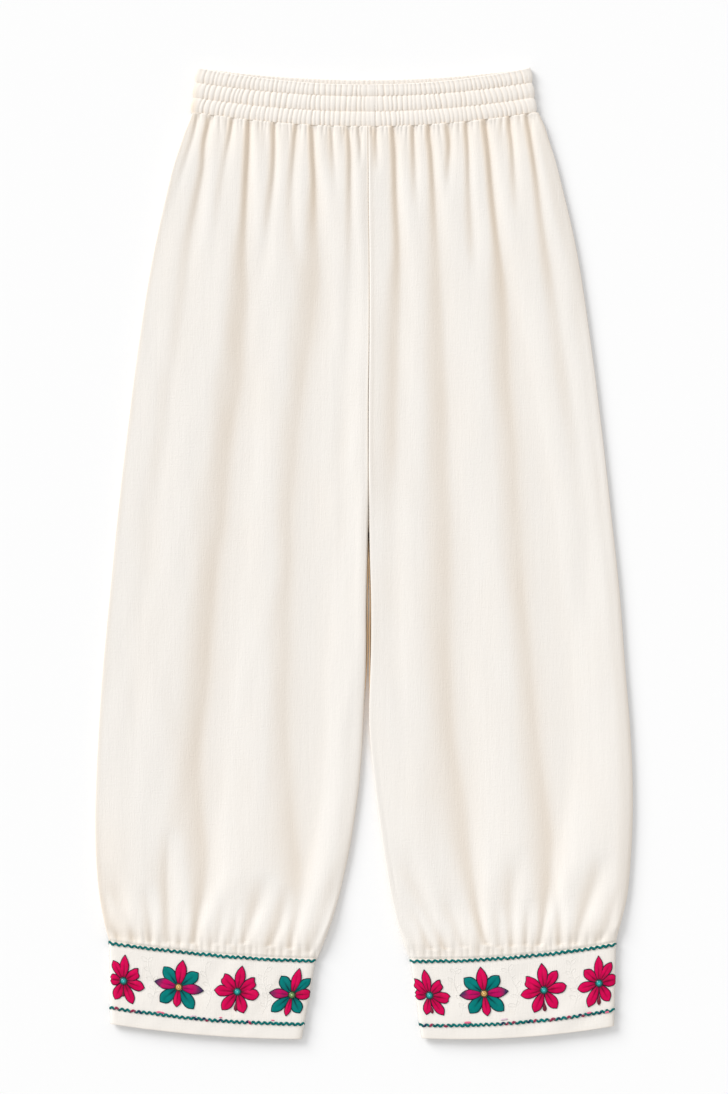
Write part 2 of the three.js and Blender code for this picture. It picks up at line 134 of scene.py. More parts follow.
# =====================================================================================
# Mesh building
# =====================================================================================
def new_object(name, co, faces, smooth_faces=None, uv=None, attrs=None, coll=None):
    """co in mm on the page; faces is an (n, 4) or (n, 3) array or a list of such arrays."""
    if isinstance(faces, (list, tuple)):
        parts = [np.asarray(f, np.int64) for f in faces]
    else:
        parts = [np.asarray(faces, np.int64)]
    loops = np.concatenate([p.ravel() for p in parts])
    totals = np.concatenate([np.full(len(p), p.shape[1]) for p in parts])
    starts = np.concatenate([[0], np.cumsum(totals)[:-1]])
    me = bpy.data.meshes.new(name)
    me.vertices.add(len(co))
    me.vertices.foreach_set("co", ((np.asarray(co, float) + SHIFT) * MM).astype(np.float32).ravel())
    me.loops.add(len(loops))
    me.loops.foreach_set("vertex_index", loops.astype(np.int32))
    me.polygons.add(len(totals))
    me.polygons.foreach_set("loop_start", starts.astype(np.int32))
    me.update(calc_edges=True)
    sm = np.ones(len(totals), bool) if smooth_faces is None else np.asarray(smooth_faces, bool)
    me.polygons.foreach_set("use_smooth", sm)
    if uv is not None:
        layer = me.uv_layers.new(name="along")
        layer.data.foreach_set("uv", np.asarray(uv, np.float32)[loops].ravel())
    for key, val in (attrs or {}).items():
        at = me.attributes.new(key, "FLOAT", "POINT")
        at.data.foreach_set("value", np.asarray(val, np.float32).ravel())
    me.validate()
    me.update()
    ob = bpy.data.objects.new(name, me)
    bpy.context.scene.collection.objects.link(ob)
    return ob


def grid_normals(P, turn=1.0):
    du = np.empty_like(P)
    dv = np.empty_like(P)
    du[:, 1:-1] = P[:, 2:] - P[:, :-2]
    du[:, 0], du[:, -1] = P[:, 1] - P[:, 0], P[:, -1] - P[:, -2]
    dv[1:-1] = P[2:] - P[:-2]
    dv[0], dv[-1] = P[1] - P[0], P[-1] - P[-2]
    n = np.cross(dv, du)
    n /= np.maximum(np.linalg.norm(n, axis=2, keepdims=True), 1e-12)
    return n * turn


def shell_faces(R, C):
    r, c = np.meshgrid(np.arange(R - 1), np.arange(C - 1), indexing="ij")
    A = (r * C + c).ravel()
    out = np.stack([A, A + C, A + C + 1, A + 1], 1)
    off = R * C
    inn = np.stack([A + off, A + 1 + off, A + C + 1 + off, A + C + off], 1)
    k = np.arange(C - 1)
    top = np.stack([k, k + 1, k + 1 + off, k + off], 1)
    b = (R - 1) * C + k
    bot = np.stack([b + 1, b, b + off, b + 1 + off], 1)
    k = np.arange(R - 1) * C
    lef = np.stack([k + C, k, k + off, k + C + off], 1)
    k = k + C - 1
    rig = np.stack([k, k + C, k + C + off, k + off], 1)
    faces = np.concatenate([out, inn, top, bot, lef, rig])
    flag = np.zeros(len(faces), bool)
    flag[: 2 * (R - 1) * (C - 1)] = True
    return faces, flag


def volume(co, faces):
    v = 0.0
    for k in range(1, faces.shape[1] - 1):
        a, b, c = co[faces[:, 0]], co[faces[:, k]], co[faces[:, k + 1]]
        v += np.einsum("ij,ij->i", a, np.cross(b, c)).sum()
    return v / 6


def shell(name, outer, inner, attrs=None, uv=None):
    R, C, _ = outer.shape
    co = np.concatenate([outer.reshape(-1, 3), inner.reshape(-1, 3)])
    faces, flag = shell_faces(R, C)
    if volume(co, faces) < 0:
        faces = faces[:, ::-1]
    at = {k: np.concatenate([np.ravel(v), np.ravel(v)]) for k, v in (attrs or {}).items()}
    u = None if uv is None else np.concatenate([uv.reshape(-1, 2)] * 2)
    return new_object(name, co, faces, flag, uv=u, attrs=at)


def blur(Z, n):
    """Simple box blur of a grid of heights, n cells each way, edges held."""
    for axis in (0, 1):
        pad = [(0, 0), (0, 0)]
        pad[axis] = (n, n)
        K = np.pad(Z, pad, mode="edge")
        cs = np.cumsum(K, axis=axis)
        zero = np.zeros_like(np.take(cs, [0], axis=axis))
        cs = np.concatenate([zero, cs], axis=axis)
        m = 2 * n + 1
        L = Z.shape[axis]
        Z = (np.take(cs, np.arange(m, m + L), axis=axis) - np.take(cs, np.arange(0, L), axis=axis)) / m
    return Z


# =====================================================================================
# Folds. Stations are page positions written the way they were read off:
# X right from the picture's left edge, Y down from its top edge, one unit a millimetre.
# =====================================================================================
def px(x):
    return x - 364.5


def py(y):
    return 555.5 - y


# each fold: stations (Y, X of its deepest line, reach to the left, reach to the right, depth)
LEFT_FOLDS = {
    "side": [(112, 213, 2.6, 4, 1.7), (140, 206, 3, 6, 1.7), (170, 204, 4, 7, 1.5), (200, 199, 5, 9, 1.4), (240, 193, 8, 13, 1.5),
             (300, 187, 11, 20, 1.7), (370, 177, 12, 23, 1.6), (450, 166, 14, 26, 1.6), (525, 155, 15, 27, 1.5), (600, 145, 15, 27, 1.4),
             (700, 137, 15, 26, 1.1), (800, 133, 14, 22, 0.6), (870, 131, 12, 16, 0.0)],
    "edge": [(113, 199, 2, 3, 0.9), (140, 193, 3, 4, 0.8), (170, 184, 4, 5, 0.5), (215, 172, 5, 6, 0.0)],
    "second": [(117, 233.5, 2, 3.5, 1.6), (135, 231, 2.5, 5, 1.4), (160, 227, 4, 7, 0.8), (200, 221, 6, 9, 0.6), (250, 214, 8, 10, 0.4), (320, 208, 9, 12, 0.0)],
    "main": [(120, 249, 2.2, 4, 2.4), (140, 249, 2.6, 5, 2.5), (180, 247.5, 3.2, 8, 2.3), (220, 246.5, 4.5, 12, 2.2), (260, 247.5, 9, 22, 2.5),
             (300, 250, 14, 31, 3.0), (360, 248, 17, 35, 3.5), (450, 239.5, 20, 38, 4.1), (525, 233, 20, 39, 4.3), (600, 226, 20, 40, 4.5),
             (680, 219, 20, 40, 4.6), (750, 212, 21, 40, 4.6), (815, 210, 19, 34, 4.0), (860, 210, 14, 23, 3.0), (890, 206, 9, 13, 2.2),
             (915, 200, 5, 7, 1.6), (943, 194.5, 3, 4, 1.4)],
    "fourth": [(121, 274.5, 2, 3.5, 1.9), (150, 275, 2.6, 4.5, 1.7), (180, 274, 3.5, 5, 1.5), (210, 271, 5, 6, 1.1), (245, 267, 7, 7, 0.7), (290, 262, 9, 9, 0.0)],
    "fifth": [(123, 296.5, 2, 4, 1.9), (150, 295, 3, 6, 1.5), (190, 293, 5, 7, 1.2), (230, 294, 7, 7, 0.8), (270, 298, 9, 8, 0.0)],
    "sixth": [(125, 312.5, 2.2, 4, 2.4), (150, 313.5, 2.6, 5, 2.5), (180, 315.5, 3.2, 8, 2.2), (210, 317, 5.5, 13, 2.1), (250, 320, 12, 21, 2.5),
              (300, 324, 20, 30, 3.6), (360, 317, 19, 34, 4.0), (450, 310, 19, 36, 4.5), (525, 307.5, 21, 36, 4.8), (600, 309, 23, 35, 5.3),
              (680, 308, 24, 33, 5.4), (750, 308, 25, 31, 5.4), (815, 307, 23, 25, 4.7), (860, 305, 18, 18, 3.6), (895, 302, 11, 11, 2.1),
              (920, 297, 6, 7, 1.5), (948, 291, 3.5, 4, 1.3)],
    "seventh": [(126, 331, 2, 3.4, 1.6), (145, 333, 3, 4, 1.3), (170, 335, 4, 5, 0.7), (215, 337, 6, 6, 0.0)],
    "eighth": [(127, 348, 2, 3.6, 2.0), (150, 350.5, 2.6, 4.5, 1.8), (180, 351, 3, 5.5, 1.5), (220, 351.5, 4, 6, 1.1), (255, 352, 6, 8, 1.0),
               (300, 351, 8, 10, 1.0), (380, 347, 10, 12, 1.0), (450, 345, 10, 12, 1.0), (540, 345, 11, 12, 0.7), (640, 345, 11, 12, 0.0)],
    "ninth": [(127, 358.5, 1.6, 2.4, 1.3), (145, 360.5, 2, 3, 1.0), (170, 361, 2.5, 3, 0.0)],
    "low_a": [(824, 171, 6, 7, 0.0), (845, 169.5, 4, 8, 1.2), (880, 168.5, 3.6, 9, 2.0), (915, 169, 3, 7, 1.9), (943, 169, 2.6, 4, 1.6)],
    "low_b": [(880, 146, 4, 6, 0.0), (905, 149, 3.2, 6, 1.0), (928, 151.5, 3, 5, 1.5), (942, 152, 2.4, 3.4, 1.5)],
    "low_c": [(862, 110, 6, 7, 0.0), (892, 120, 6, 7, 1.3), (920, 129, 4.5, 5, 1.4), (941, 138, 3, 3.5, 1.4)],
    "low_d": [(885, 103, 3, 4, 0.0), (905, 108, 3, 4, 0.9), (930, 116, 3, 4, 1.2), (941, 122, 2.4, 3, 1.2)],
    "low_e": [(886, 224, 5, 6, 0.0), (912, 223, 4, 6, 1.0), (932, 220, 3, 4, 1.4), (944, 217, 2.4, 3, 1.3)],
    "low_f": [(872, 267, 6, 7, 0.0), (900, 260, 5, 8, 1.8), (920, 252.5, 4, 6, 2.0), (943, 245, 3, 4, 1.7)],
    "low_g": [(884, 287, 5, 5, 0.0), (908, 284, 4, 6, 1.5), (928, 279, 3.6, 5, 1.9), (946, 271, 3, 4, 1.6)],
    "low_h": [(860, 343, 6, 8, 0.0), (890, 340, 6, 7, 1.4), (915, 331, 5, 6, 1.4), (935, 320, 4, 5, 1.4), (951, 311, 3, 3, 1.2)],
    "low_i": [(902, 236, 4, 4, 0.0), (925, 235, 3, 4, 1.0), (945, 231, 2.4, 3, 1.2)],
    "low_j": [(900, 183, 4, 5, 0.0), (922, 183, 3.4, 5, 1.0), (944, 182, 2.6, 3.4, 1.3)],
}
RIGHT_FOLDS = {
    "first": [(127, 376, 2, 3.4, 1.6), (145, 377, 2.6, 4, 1.2), (175, 378, 3.4, 4, 0.0)],
    "second": [(126, 393, 2.2, 4, 2.3), (150, 395, 2.8, 5, 2.2), (200, 397, 3.6, 7, 2.0), (250, 400, 5, 11, 2.0), (300, 401, 9, 16, 2.1),
               (380, 399, 10, 19, 2.0), (450, 398, 11, 21, 1.8), (560, 398, 13, 22, 1.5), (680, 402, 14, 22, 1.1), (790, 410, 14, 20, 0.0)],
    "third": [(125, 413, 2, 3.4, 1.7), (150, 414.5, 2.8, 4.5, 1.5), (178, 416, 4, 5, 1.0), (215, 418, 6, 6, 0.0)],
    "fourth": [(124, 428.5, 2.2, 4, 2.3), (150, 431.5, 2.8, 5.5, 2.2), (180, 434, 3.6, 7, 2.0), (220, 437, 5.5, 11, 1.8), (260, 441, 9, 17, 2.1),
               (300, 444, 12, 24, 2.8), (370, 448, 15, 31, 3.2), (450, 452, 17, 34, 3.5), (525, 456, 19, 36, 3.9), (600, 459, 20, 38, 4.2),
               (680, 461, 20, 38, 4.3), (750, 463.5, 19, 36, 4.2), (815, 470, 16, 27, 3.5), (855, 473, 12, 18, 2.7), (885, 476, 8, 10, 1.9),
               (915, 480, 5, 6, 1.8), (944, 487, 3, 4, 1.6)],
    "fifth": [(122, 448.5, 2, 3.4, 1.7), (145, 450, 2.6, 5, 1.4), (172, 449, 4, 5.5, 0.8), (205, 447, 6, 6, 0.0)],
    "sixth": [(120, 466.5, 2, 3.6, 1.9), (150, 468.5, 2.6, 5, 1.6), (190, 470, 3.6, 6, 1.3), (235, 473, 5, 7, 1.0), (285, 476, 7, 8, 0.0)],
    "seventh": [(118, 484.5, 2.2, 4, 2.4), (150, 488.5, 2.6, 6, 2.5), (190, 492.5, 3.2, 8, 2.4), (240, 499, 5, 12, 2.5), (300, 510, 12, 22, 3.8),
                (370, 518, 16, 30, 4.4), (450, 528, 20, 35, 4.9), (525, 536, 22, 37, 5.2), (600, 543, 22, 38, 5.6), (680, 549.5, 22, 37, 5.6),
                (750, 556, 22, 34, 5.6), (815, 557, 17, 25, 4.4), (855, 554, 12, 17, 3.1), (885, 550, 8, 10, 2.0), (915, 545, 4.5, 6, 1.6), (945, 540, 3, 4, 1.5)],
    "eighth": [(116, 509, 2, 3.4, 1.8), (145, 512.5, 2.6, 5, 1.6), (175, 515, 4, 6, 1.2), (220, 518, 6, 7, 0.0)],
    "ninth": [(114, 527, 2.2, 4, 2.0), (145, 532, 2.8, 5.5, 1.9), (180, 537.5, 3.6, 6.5, 1.8), (220, 543, 5, 9, 1.7), (270, 552, 8, 14, 1.9),
              (320, 561, 11, 20, 2.1), (385, 571, 12, 22, 1.9), (450, 581, 13, 23, 1.7), (560, 589, 14, 22, 1.1), (680, 596, 14, 18, 0.0)],
    "low_a": [(838, 402, 7, 9, 0.0), (868, 412, 7, 9, 1.2), (895, 423, 5, 7, 1.3), (915, 432, 5, 6, 1.2), (948, 447, 3, 4, 1.4)],
    "low_b": [(902, 413, 4, 5, 0.0), (925, 422, 3.4, 4, 1.2), (949, 433, 2.6, 3, 1.4)],
    "low_c": [(890, 446, 6, 7, 0.0), (912, 453, 5, 6, 1.0), (930, 460, 4, 5, 1.3), (947, 465, 3, 3.4, 1.4)],
    "low_d": [(846, 518, 6, 8, 0.0), (872, 515.5, 5, 8, 1.3), (900, 512.5, 4, 7, 1.7), (925, 512.5, 3.4, 5, 1.6), (945, 513.5, 2.6, 3.6, 1.5)],
    "low_e": [(864, 555, 4, 6, 0.0), (895, 557.5, 3.4, 6, 1.5), (920, 560.5, 3, 5, 1.8), (944, 561, 2.6, 3.4, 1.6)],
    "low_f": [(852, 603, 6, 7, 0.0), (878, 597, 5.5, 8, 1.9), (905, 588, 4.5, 7, 2.2), (925, 581, 3.4, 5.5, 2.0), (943, 576, 2.6, 3.6, 1.6)],
    "low_g": [(885, 618, 3.5, 4, 0.0), (912, 611, 3.4, 4, 1.1), (930, 606, 3, 4, 1.4), (942, 600, 2.6, 3, 1.4)],
    "low_h": [(897, 528, 4, 5, 0.0), (922, 527.5, 3, 4.4, 1.2), (945, 527, 2.4, 3, 1.4)],
    "low_i": [(902, 498, 4, 4, 0.0), (926, 499, 3, 4, 1.1), (946, 500, 2.4, 3, 1.3)],
}


def fold_field(folds, X, Y):
    """Sum of the troughs at page points X, Y (arrays); below zero where the cloth sinks."""
    Z = np.zeros_like(X)
    for key, rows in folds.items():
        T = np.array(rows, float)
        if key.startswith("low_"):
            T[:, 2:4] *= 1.15
            T[:, 4] *= 0.68
        T[:, 2] *= 1.35 if key.startswith("low_") else 1.0
        crisp = np.clip((T[:, 0] - 165) / 185, 0, 1)  # sharp where they leave the waist seam, softer further down
        T[:, 2] *= mix(0.92, 1.12, crisp)
        T[:, 3] *= mix(0.9, 1.0, crisp)
        T[:, 4] *= mix(1.08, 1.0, crisp)
        ys, order = py(T[:, 0]), slice(None, None, -1)
        ys = ys[order]
        tab = T[order]
        inside = (Y >= ys[0]) & (Y <= ys[-1] + 14)
        if not inside.any():
            continue
        xc = hermite(ys, px(tab[:, 1]), Y)
        wl = hermite(ys, tab[:, 2], Y)
        wr = hermite(ys, tab[:, 3], Y)
        dep = np.maximum(hermite(ys, tab[:, 4], Y), 0.0) * inside
        d = X - xc
        # a steep side and a long slack one; the slack side eases off near the bottom of the fold
        lw = np.abs(d / wl) ** 1.9
        rw = np.abs(d / wr) ** (1.9 - 0.45 * smooth(11, 26, wr))
        Z -= dep * np.exp(-np.where(d < 0, lw, rw))
    return Z


def fine_gathers(seed, x0, x1, pitch, jitter):
    rng = np.random.default_rng(seed)
    out, x = [], x0 + rng.uniform(0.3, 0.8) * pitch
    while x < x1:
        out.append((x, rng.uniform(0.75, 1.3), rng.uniform(0.55, 1.5), rng.normal(0, 0.05)))
        x += pitch * rng.uniform(1 - jitter, 1 + jitter)
    return out


WAIST_TUCKS = {"left": fine_gathers(11, -170, 1.5, 5.4, 0.4), "right": fine_gathers(12, 5.0, 172, 5.4, 0.4)}
CUFF_TUCKS = {"left": fine_gathers(13, -252, -50, 7.6, 0.45), "right": fine_gathers(14, 47, 250, 7.6, 0.45)}
BACK_WAIST = {"left": fine_gathers(21, -170, 1.5, 9.0, 0.5), "right": fine_gathers(22, 5.0, 172, 9.0, 0.5)}
BACK_CUFF = {"left": fine_gathers(23, -252, -50, 10.0, 0.5), "right": fine_gathers(24, 47, 250, 10.0, 0.5)}
BACK_FOLDS = {  # softer pressed folds of the backs: page x at the waist, x at the cuff, how deep, where strongest
    "left": [(-150, -222, 0.5, 0.2), (-118, -186, 0.7, 0.7), (-84, -150, 0.6, 0.35), (-52, -118, 0.7, 0.8), (-22, -76, 0.5, 0.3)],
    "right": [(24, 70, 0.6, 0.3), (58, 116, 0.7, 0.75), (92, 150, 0.5, 0.4), (124, 188, 0.7, 0.85), (154, 222, 0.5, 0.25)],
}


def tucks(table, X, D, reach, width, depth, lean=0.0):
    """Short tucks that run from a seam; D is the distance from the seam."""
    Z = np.zeros_like(X)
    D = np.maximum(D, 0.0)
    near = D < reach * 3.2
    if not near.any():
        return Z
    x, d = X[near], D[near]
    z = np.zeros_like(x)
    for x0, wd, ln, sl in table:
        q = (x - x0 - (sl + lean) * d) / (width * wd * (1 + 0.9 * d / reach))
        z -= depth * wd * np.exp(-q * q) * np.exp(-(d / (reach * ln)) ** 1.3)
    Z[near] = z
    return Z


# a few broad, low swells that every laid cloth has
def swells(X, Y, seed, amp):
    rng = np.random.default_rng(seed)
    Z = np.zeros_like(X)
    for _ in range(9):
        a = rng.uniform(-0.25, 0.25)
        lx, ly = rng.uniform(26, 60), rng.uniform(180, 420)
        p, q = rng.uniform(0, 6.28, 2)
        Z += np.sin((X * math.cos(a) + Y * math.sin(a)) * 6.283 / lx + p) * np.sin(Y * 6.283 / ly + q)
    return Z * amp / 3


# =====================================================================================
# Leg panels
# =====================================================================================
def lean_in(y):
    return smooth(CROTCH_Y + 70, CROTCH_Y - 12, y)


def front_gap(y):
    """Half of the narrow valley between the two rolled inner edges, added to the outline."""
    return 0.6 * smooth(CROTCH_Y + 30, CROTCH_Y - 40, y) * (1 - smooth(-85, -150, y))


def fuller(side, Y):
    """How far the cloth stands out past the plain outline at the outer side."""
    if side == "left":
        return 1.35 * smooth(436, 418, Y) * mix(1.0, 0.5, smooth(-372, -386, Y))
    return 1.4 * smooth(385, 300, Y) * (1 - smooth(-335, -372, Y))


DRIFT_Y = (-325.0, -285.0, -245.0, -195.0, -145.0, -95.0, -45.0, 5.0, 55.0, 155.0, 205.0, 305.0, 355.0, 395.0, 443.0)
DRIFT = {
    "left": (0.0, 0.9, 1.3, 1.1, 0.4, 0.7, 0.3, 0.8, 1.1, 1.1, 1.7, 1.7, 1.0, 0.8, 0.3),
    "right": (0.0, 0.0, 0.0, 0.5, 1.6, 2.3, 1.8, 0.9, 1.1, 1.1, 1.7, 1.7, 1.0, 0.8, 0.3),
}


def seam_drift(side, Y):
    """How far the middle edges wander to the right of the plain outline."""
    return hermite(np.array(DRIFT_Y), np.array(DRIFT[side]), Y)


def leg_grid(side, face, n_across, v):
    sg = 1.0 if side == "left" else -1.0
    half = CLOTH / 2
    front = face == "front"
    oc, ic = (1, 2) if side == "left" else (4, 3)
    n_roll = 13 if front else 6
    th = np.linspace(0, math.pi / 2, n_roll)
    u_in = np.linspace(0, 1, n_across + 1)[1:-1]
    kind = np.concatenate([np.zeros(n_roll), np.ones(len(u_in)), np.full(n_roll, 2)])
    ang = np.concatenate([th, np.zeros(len(u_in)), th[::-1]])
    uu = np.concatenate([np.zeros(n_roll), u_in, np.ones(n_roll)])
    v = v[:, None]
    kind, ang, uu = kind[None, :], ang[None, :], uu[None, :]
    c, q = 1 - np.cos(ang), np.sin(ang)
    X = np.full((len(v), kind.shape[1]), -sg * 120.0)
    for _ in range(8):
        # the front's ends are sewn in: under the waistband's lower edge, and under the cuff's upper one
        Y = mix(band_row(4, X) + (0.5 if front else -SEAM), cuff_top(side, X) + (-1.5 if front else SEAM), v)
        b = lean_in(Y)
        o = outline(oc, Y) + sg * (half - fuller(side, Y))
        gap = front_gap(Y) if front else -0.75 * smooth(CROTCH_Y + 30, CROTCH_Y - 10, Y) * (1 - smooth(-70, -125, Y)) - 0.8 * smooth(-40, -80, Y) * smooth(-150, -110, Y)
        over = mix(0.12, 0.4, smooth(130, 250, Y)) * (1 - b) if front and side == "left" else 0.0
        i = outline(ic, Y) - sg * (SEAM / 2 + half * b + gap - over) + seam_drift(side, Y)
        if front:
            # the sides that face the window turn sharply, the others roll over broadly
            ro = mix(0.5, 6.0, smooth(-366, -386, Y)) if side == "left" else mix(3.6, 6.0, smooth(-366, -386, Y))
            ri = mix(1.5, 3.6, smooth(-60, -190, Y)) if side == "left" else mix(1.6, 0.7, b)
            ri = mix(ri, 6.0, smooth(-366, -386, Y))
        else:
            ro, ri = 5.5, mix(1.6, 5.0, smooth(CROTCH_Y + 30, CROTCH_Y - 150, Y))
        X = np.where(kind == 0, o + sg * ro * c, np.where(kind == 2, i - sg * ri * c, mix(o + sg * ro, i - sg * ri, uu)))
    Dt, Db = band_row(4, X) - Y, Y - cuff_top(side, X)
    do, di = np.abs(X - o), np.abs(i - X)
    return X, Y, Dt, Db, do, di, b, kind, q, o, i


def seam_z(Y):
    return mix(mix(SIDE_Z, BAND_SEAM_Z + 0.6, smooth(330, 425, Y)), CUFF_SEAM_Z, smooth(-330, -385, Y))


def row_blur(Z, n):
    """Box blur along the rows only, ends held."""
    K = np.pad(Z, [(0, 0), (n + 1, n)], mode="edge")
    cs = np.cumsum(K, axis=1)
    m = 2 * n + 1
    return (cs[:, m:] - cs[:, :-m]) / m


def zone_shell(name, outer, inner, dense, attrs):
    """A closed shell whose columns are close together where dense is true and twice as far apart elsewhere."""
    R, C, _ = outer.shape
    kf, kc = np.arange(C - 1), np.arange(0, C - 1, 2)
    quads, pents = [], []
    for r in range(R - 1):
        a, b = r * C, (r + 1) * C
        if dense[r] and dense[r + 1]:
            quads.append(np.stack([a + kf, b + kf, b + kf + 1, a + kf + 1], 1))
        elif not dense[r] and not dense[r + 1]:
            quads.append(np.stack([a + kc, b + kc, b + kc + 2, a + kc + 2], 1))
        elif dense[r]:
            pents.append(np.stack([a + kc, b + kc, b + kc + 2, a + kc + 2, a + kc + 1], 1))
        else:
            pents.append(np.stack([a + kc, b + kc, b + kc + 1, b + kc + 2, a + kc + 2], 1))
    q = np.concatenate(quads)
    p = np.concatenate(pents) if pents else np.zeros((0, 5), int)
    off = R * C
    k = kf
    top = np.stack([k, k + 1, k + 1 + off, k + off], 1)
    b = (R - 1) * C + k
    bot = np.stack([b + 1, b, b + off, b + 1 + off], 1)
    k = np.arange(R - 1) * C
    lef = np.stack([k + C, k, k + off, k + C + off], 1)
    k = k + C - 1
    rig = np.stack([k, k + C, k + C + off, k + off], 1)
    quads = np.concatenate([q, q[:, ::-1] + off, top, bot, lef, rig])
    pents = np.concatenate([p, p[:, ::-1] + off])
    co = np.concatenate([outer.reshape(-1, 3), inner.reshape(-1, 3)])
    if volume(co, quads) + volume(co, pents) < 0:
        quads, pents = quads[:, ::-1], pents[:, ::-1]
    flag = np.concatenate([np.arange(len(quads)) < 2 * len(q), np.ones(len(pents), bool)])
    used = np.unique(np.concatenate([quads.ravel(), pents.ravel()]))
    new = np.full(len(co), -1)
    new[used] = np.arange(len(used))
    at = {key: np.concatenate([np.ravel(val), np.ravel(val)])[used] for key, val in attrs.items()}
    faces = [new[quads]] + ([new[pents]] if len(pents) else [])
    return new_object(name, co[used], faces, flag, attrs=at)


def leg_panel(side, face):
    front = face == "front"
    if front:
        n_across = 250
        cut = ((40, 136, 54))
        v = np.concatenate([np.linspace(0, 0.075, cut[0], endpoint=False), np.linspace(0.075, 0.892, cut[1], endpoint=False), np.linspace(0.892, 1, cut[2])])
        dense = (v < 0.0751) | (v > 0.8915)
    else:
        n_across, n_rows = ((64, 124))
        v0 = np.linspace(0, 1, n_rows + 1)
        v = mix(v0, 0.5 - 0.5 * np.cos(np.pi * v0), 0.62)
        dense = np.ones(len(v), bool)
    X, Y, Dt, Db, do, di, b, kind, q, o, i = leg_grid(side, face, n_across, v)
    if X.shape[1] % 2 == 0:
        raise ValueError("a leg needs an odd number of columns")
    s = cuff_share(side, X)
    zs = seam_z(Y)
    zc = np.interp(s, FACES[(side, "front")].s, FACES[(side, "front")].z)
    sg = 1.0 if side == "left" else -1.0
    if front:
        folds = LEFT_FOLDS if side == "left" else RIGHT_FOLDS
        lit = (1 - smooth(0, 48, do)) * smooth(400, 300, Y) if side == "left" else b * (1 - smooth(0, 44, di))
        Z = LEVEL - 2.5 * lit * (1 - smooth(-340, -375, Y)) * mix(1.0, 0.45, smooth(-230, -330, Y))
        # the sides turned from the window fall away in a long slope
        if side == "right":
            wide = mix(24.0, 15.0, smooth(250, -140, Y))
            Z -= mix(3.3, 2.8, smooth(250, -140, Y)) * np.maximum(1 - do / wide, 0) ** 2 * (1 - smooth(-340, -378, Y))
        else:
            wide = mix(9.5, 25.0, smooth(-70, -195, Y))
            Z -= b * mix(1.7, 2.9, smooth(-70, -195, Y)) * np.maximum(1 - di / wide, 0) ** 2 * (1 - smooth(-330, -372, Y))
            Z -= (1 - b) * 1.35 * np.maximum(1 - di / 8.5, 0) ** 2
        Z = mix(Z, BAND_SEAM_Z + 2.75 + band_lens(X), smooth(46, 0, Dt))
        # the cloth swells over the cuff seam before it is drawn into it
        Z += 1.0 * np.exp(-((Db - 24) / 17) ** 2) * smooth(0, 22, do) * smooth(0, 22, di)
        Z = mix(Z, zc + 0.15, smooth(17, 0, Db))
        near = smooth(0, 9 if side == "right" else 5, do)
        inner = mix(smooth(-2, 5, di), smooth(0, 12 if side == "left" else 6, di), b)
        relief = fold_field(folds, X, Y) * mix(0.3, 1, near) * mix(1, inner, 0.85)
        relief += tucks(WAIST_TUCKS[side], X, Dt, 12.0, 0.95, 0.82) * smooth(0.5, 7, do)
        relief += tucks(CUFF_TUCKS[side], X, Db, 17.0, 1.6, 0.84) * smooth(0.5, 8, do) * smooth(0.5, 8, di)
        relief *= mix(1.18, 1.27, smooth(330, 250, Y)) * mix(0.62, 1.0, smooth(0, 5, Dt)) * mix(0.42, 1.0, smooth(0.5, 7, Db)) * mix(0.84, 1.0, smooth(12, 70, Db))
        relief += swells(X, Y, 31 if side == "left" else 32, 0.2) * near * mix(1, inner, b)
        relief -= 0.3 * np.exp(-((di - 5.5) / 1.3) ** 2) * smooth(-150, -200, Y) * (1 - smooth(-325, -350, Y)) * (side == "right")
        Z += relief
        # a fold never reaches the layer beneath
        Z = np.where(Z < 3.6, 3.6 - 1.1 * (1 - np.exp((np.minimum(Z, 3.6) - 3.6) / 1.1)), Z)
        # centre seam: the left edge lies under the right one, which stands a little proud
        up = 1 - b
        if side == "left":
            Z += 0.4 * np.exp(-((di - 0.9) / 0.7) ** 2) * smooth(-190, -120, Y) - up * mix(2.2, 1.5, smooth(130, 250, Y)) * np.exp(-(di / 0.5) ** 2)
        else:
            Z += up * (0.42 * np.exp(-((di - 1.7) / 1.5) ** 2) - 0.1 * np.exp(-(di / 0.5) ** 2))
        foot = zs + SEAM / 2
        foot_in = mix(Z - 0.5, 3.3, b)
        foot_in = mix(foot_in, zs + SEAM / 2, smooth(-90, -150, Y))
    else:
        Z = np.full_like(X, CLOTH / 2)
        groove = -(tucks(BACK_WAIST[side], X, Dt, 26.0, 1.9, 0.8) + tucks(BACK_CUFF[side], X, Db, 26.0, 2.4, 0.8))
        yy = smooth(440, -400, Y)
        for xa, xb, dep, at in BACK_FOLDS[side]:
            xc = mix(xa, xb, yy) + 5 * np.sin(Y / 90 + xa)
            groove += dep * np.exp(-((X - xc) / 7.5) ** 2) * np.exp(-((yy - at) / 0.35) ** 2)
        Z += np.minimum(groove, 1.1) * smooth(2, 14, do) * smooth(2, 14, di)
        Z += CUFF_UNDER * (1 - smooth(0, 34, Db))
        foot = zs - SEAM / 2
        foot_in = mix(Z, 2.7, b)
        foot_in = mix(foot_in, zs - SEAM / 2, smooth(-90, -150, Y))
    Zt = np.where(kind == 0, mix(foot, Z, q), np.where(kind == 2, mix(foot_in, Z, q), Z))
    if front:
        Zt = mix(Zt, zc - 1.3, smooth(1.1, -0.3, Db))
    P = np.stack([X, Y, Zt], 2)
    n = grid_normals(P)
    if (n[:, n.shape[1] // 2, 2].mean() > 0) != front:
        n = -n
    n[0, :, 1] = 0
    n[-1, :, 1] = 0
    n[:, 0] = (-sg, 0, 0)
    last = np.zeros_like(n[:, -1])
    last[:, 0] = sg
    n[:, -1] = last
    bb = b[:, -4:, None]
    n[:, -4:] = n[:, -4:] * bb + np.array([0, 0, 1.0 if front else -1.0]) * (1 - bb)
    n /= np.maximum(np.linalg.norm(n, axis=2, keepdims=True), 1e-9)
    outer, inner = P + n * CLOTH / 2, P - n * CLOTH / 2
    if not front:
        outer[..., 2] = np.maximum(outer[..., 2], 0.0)
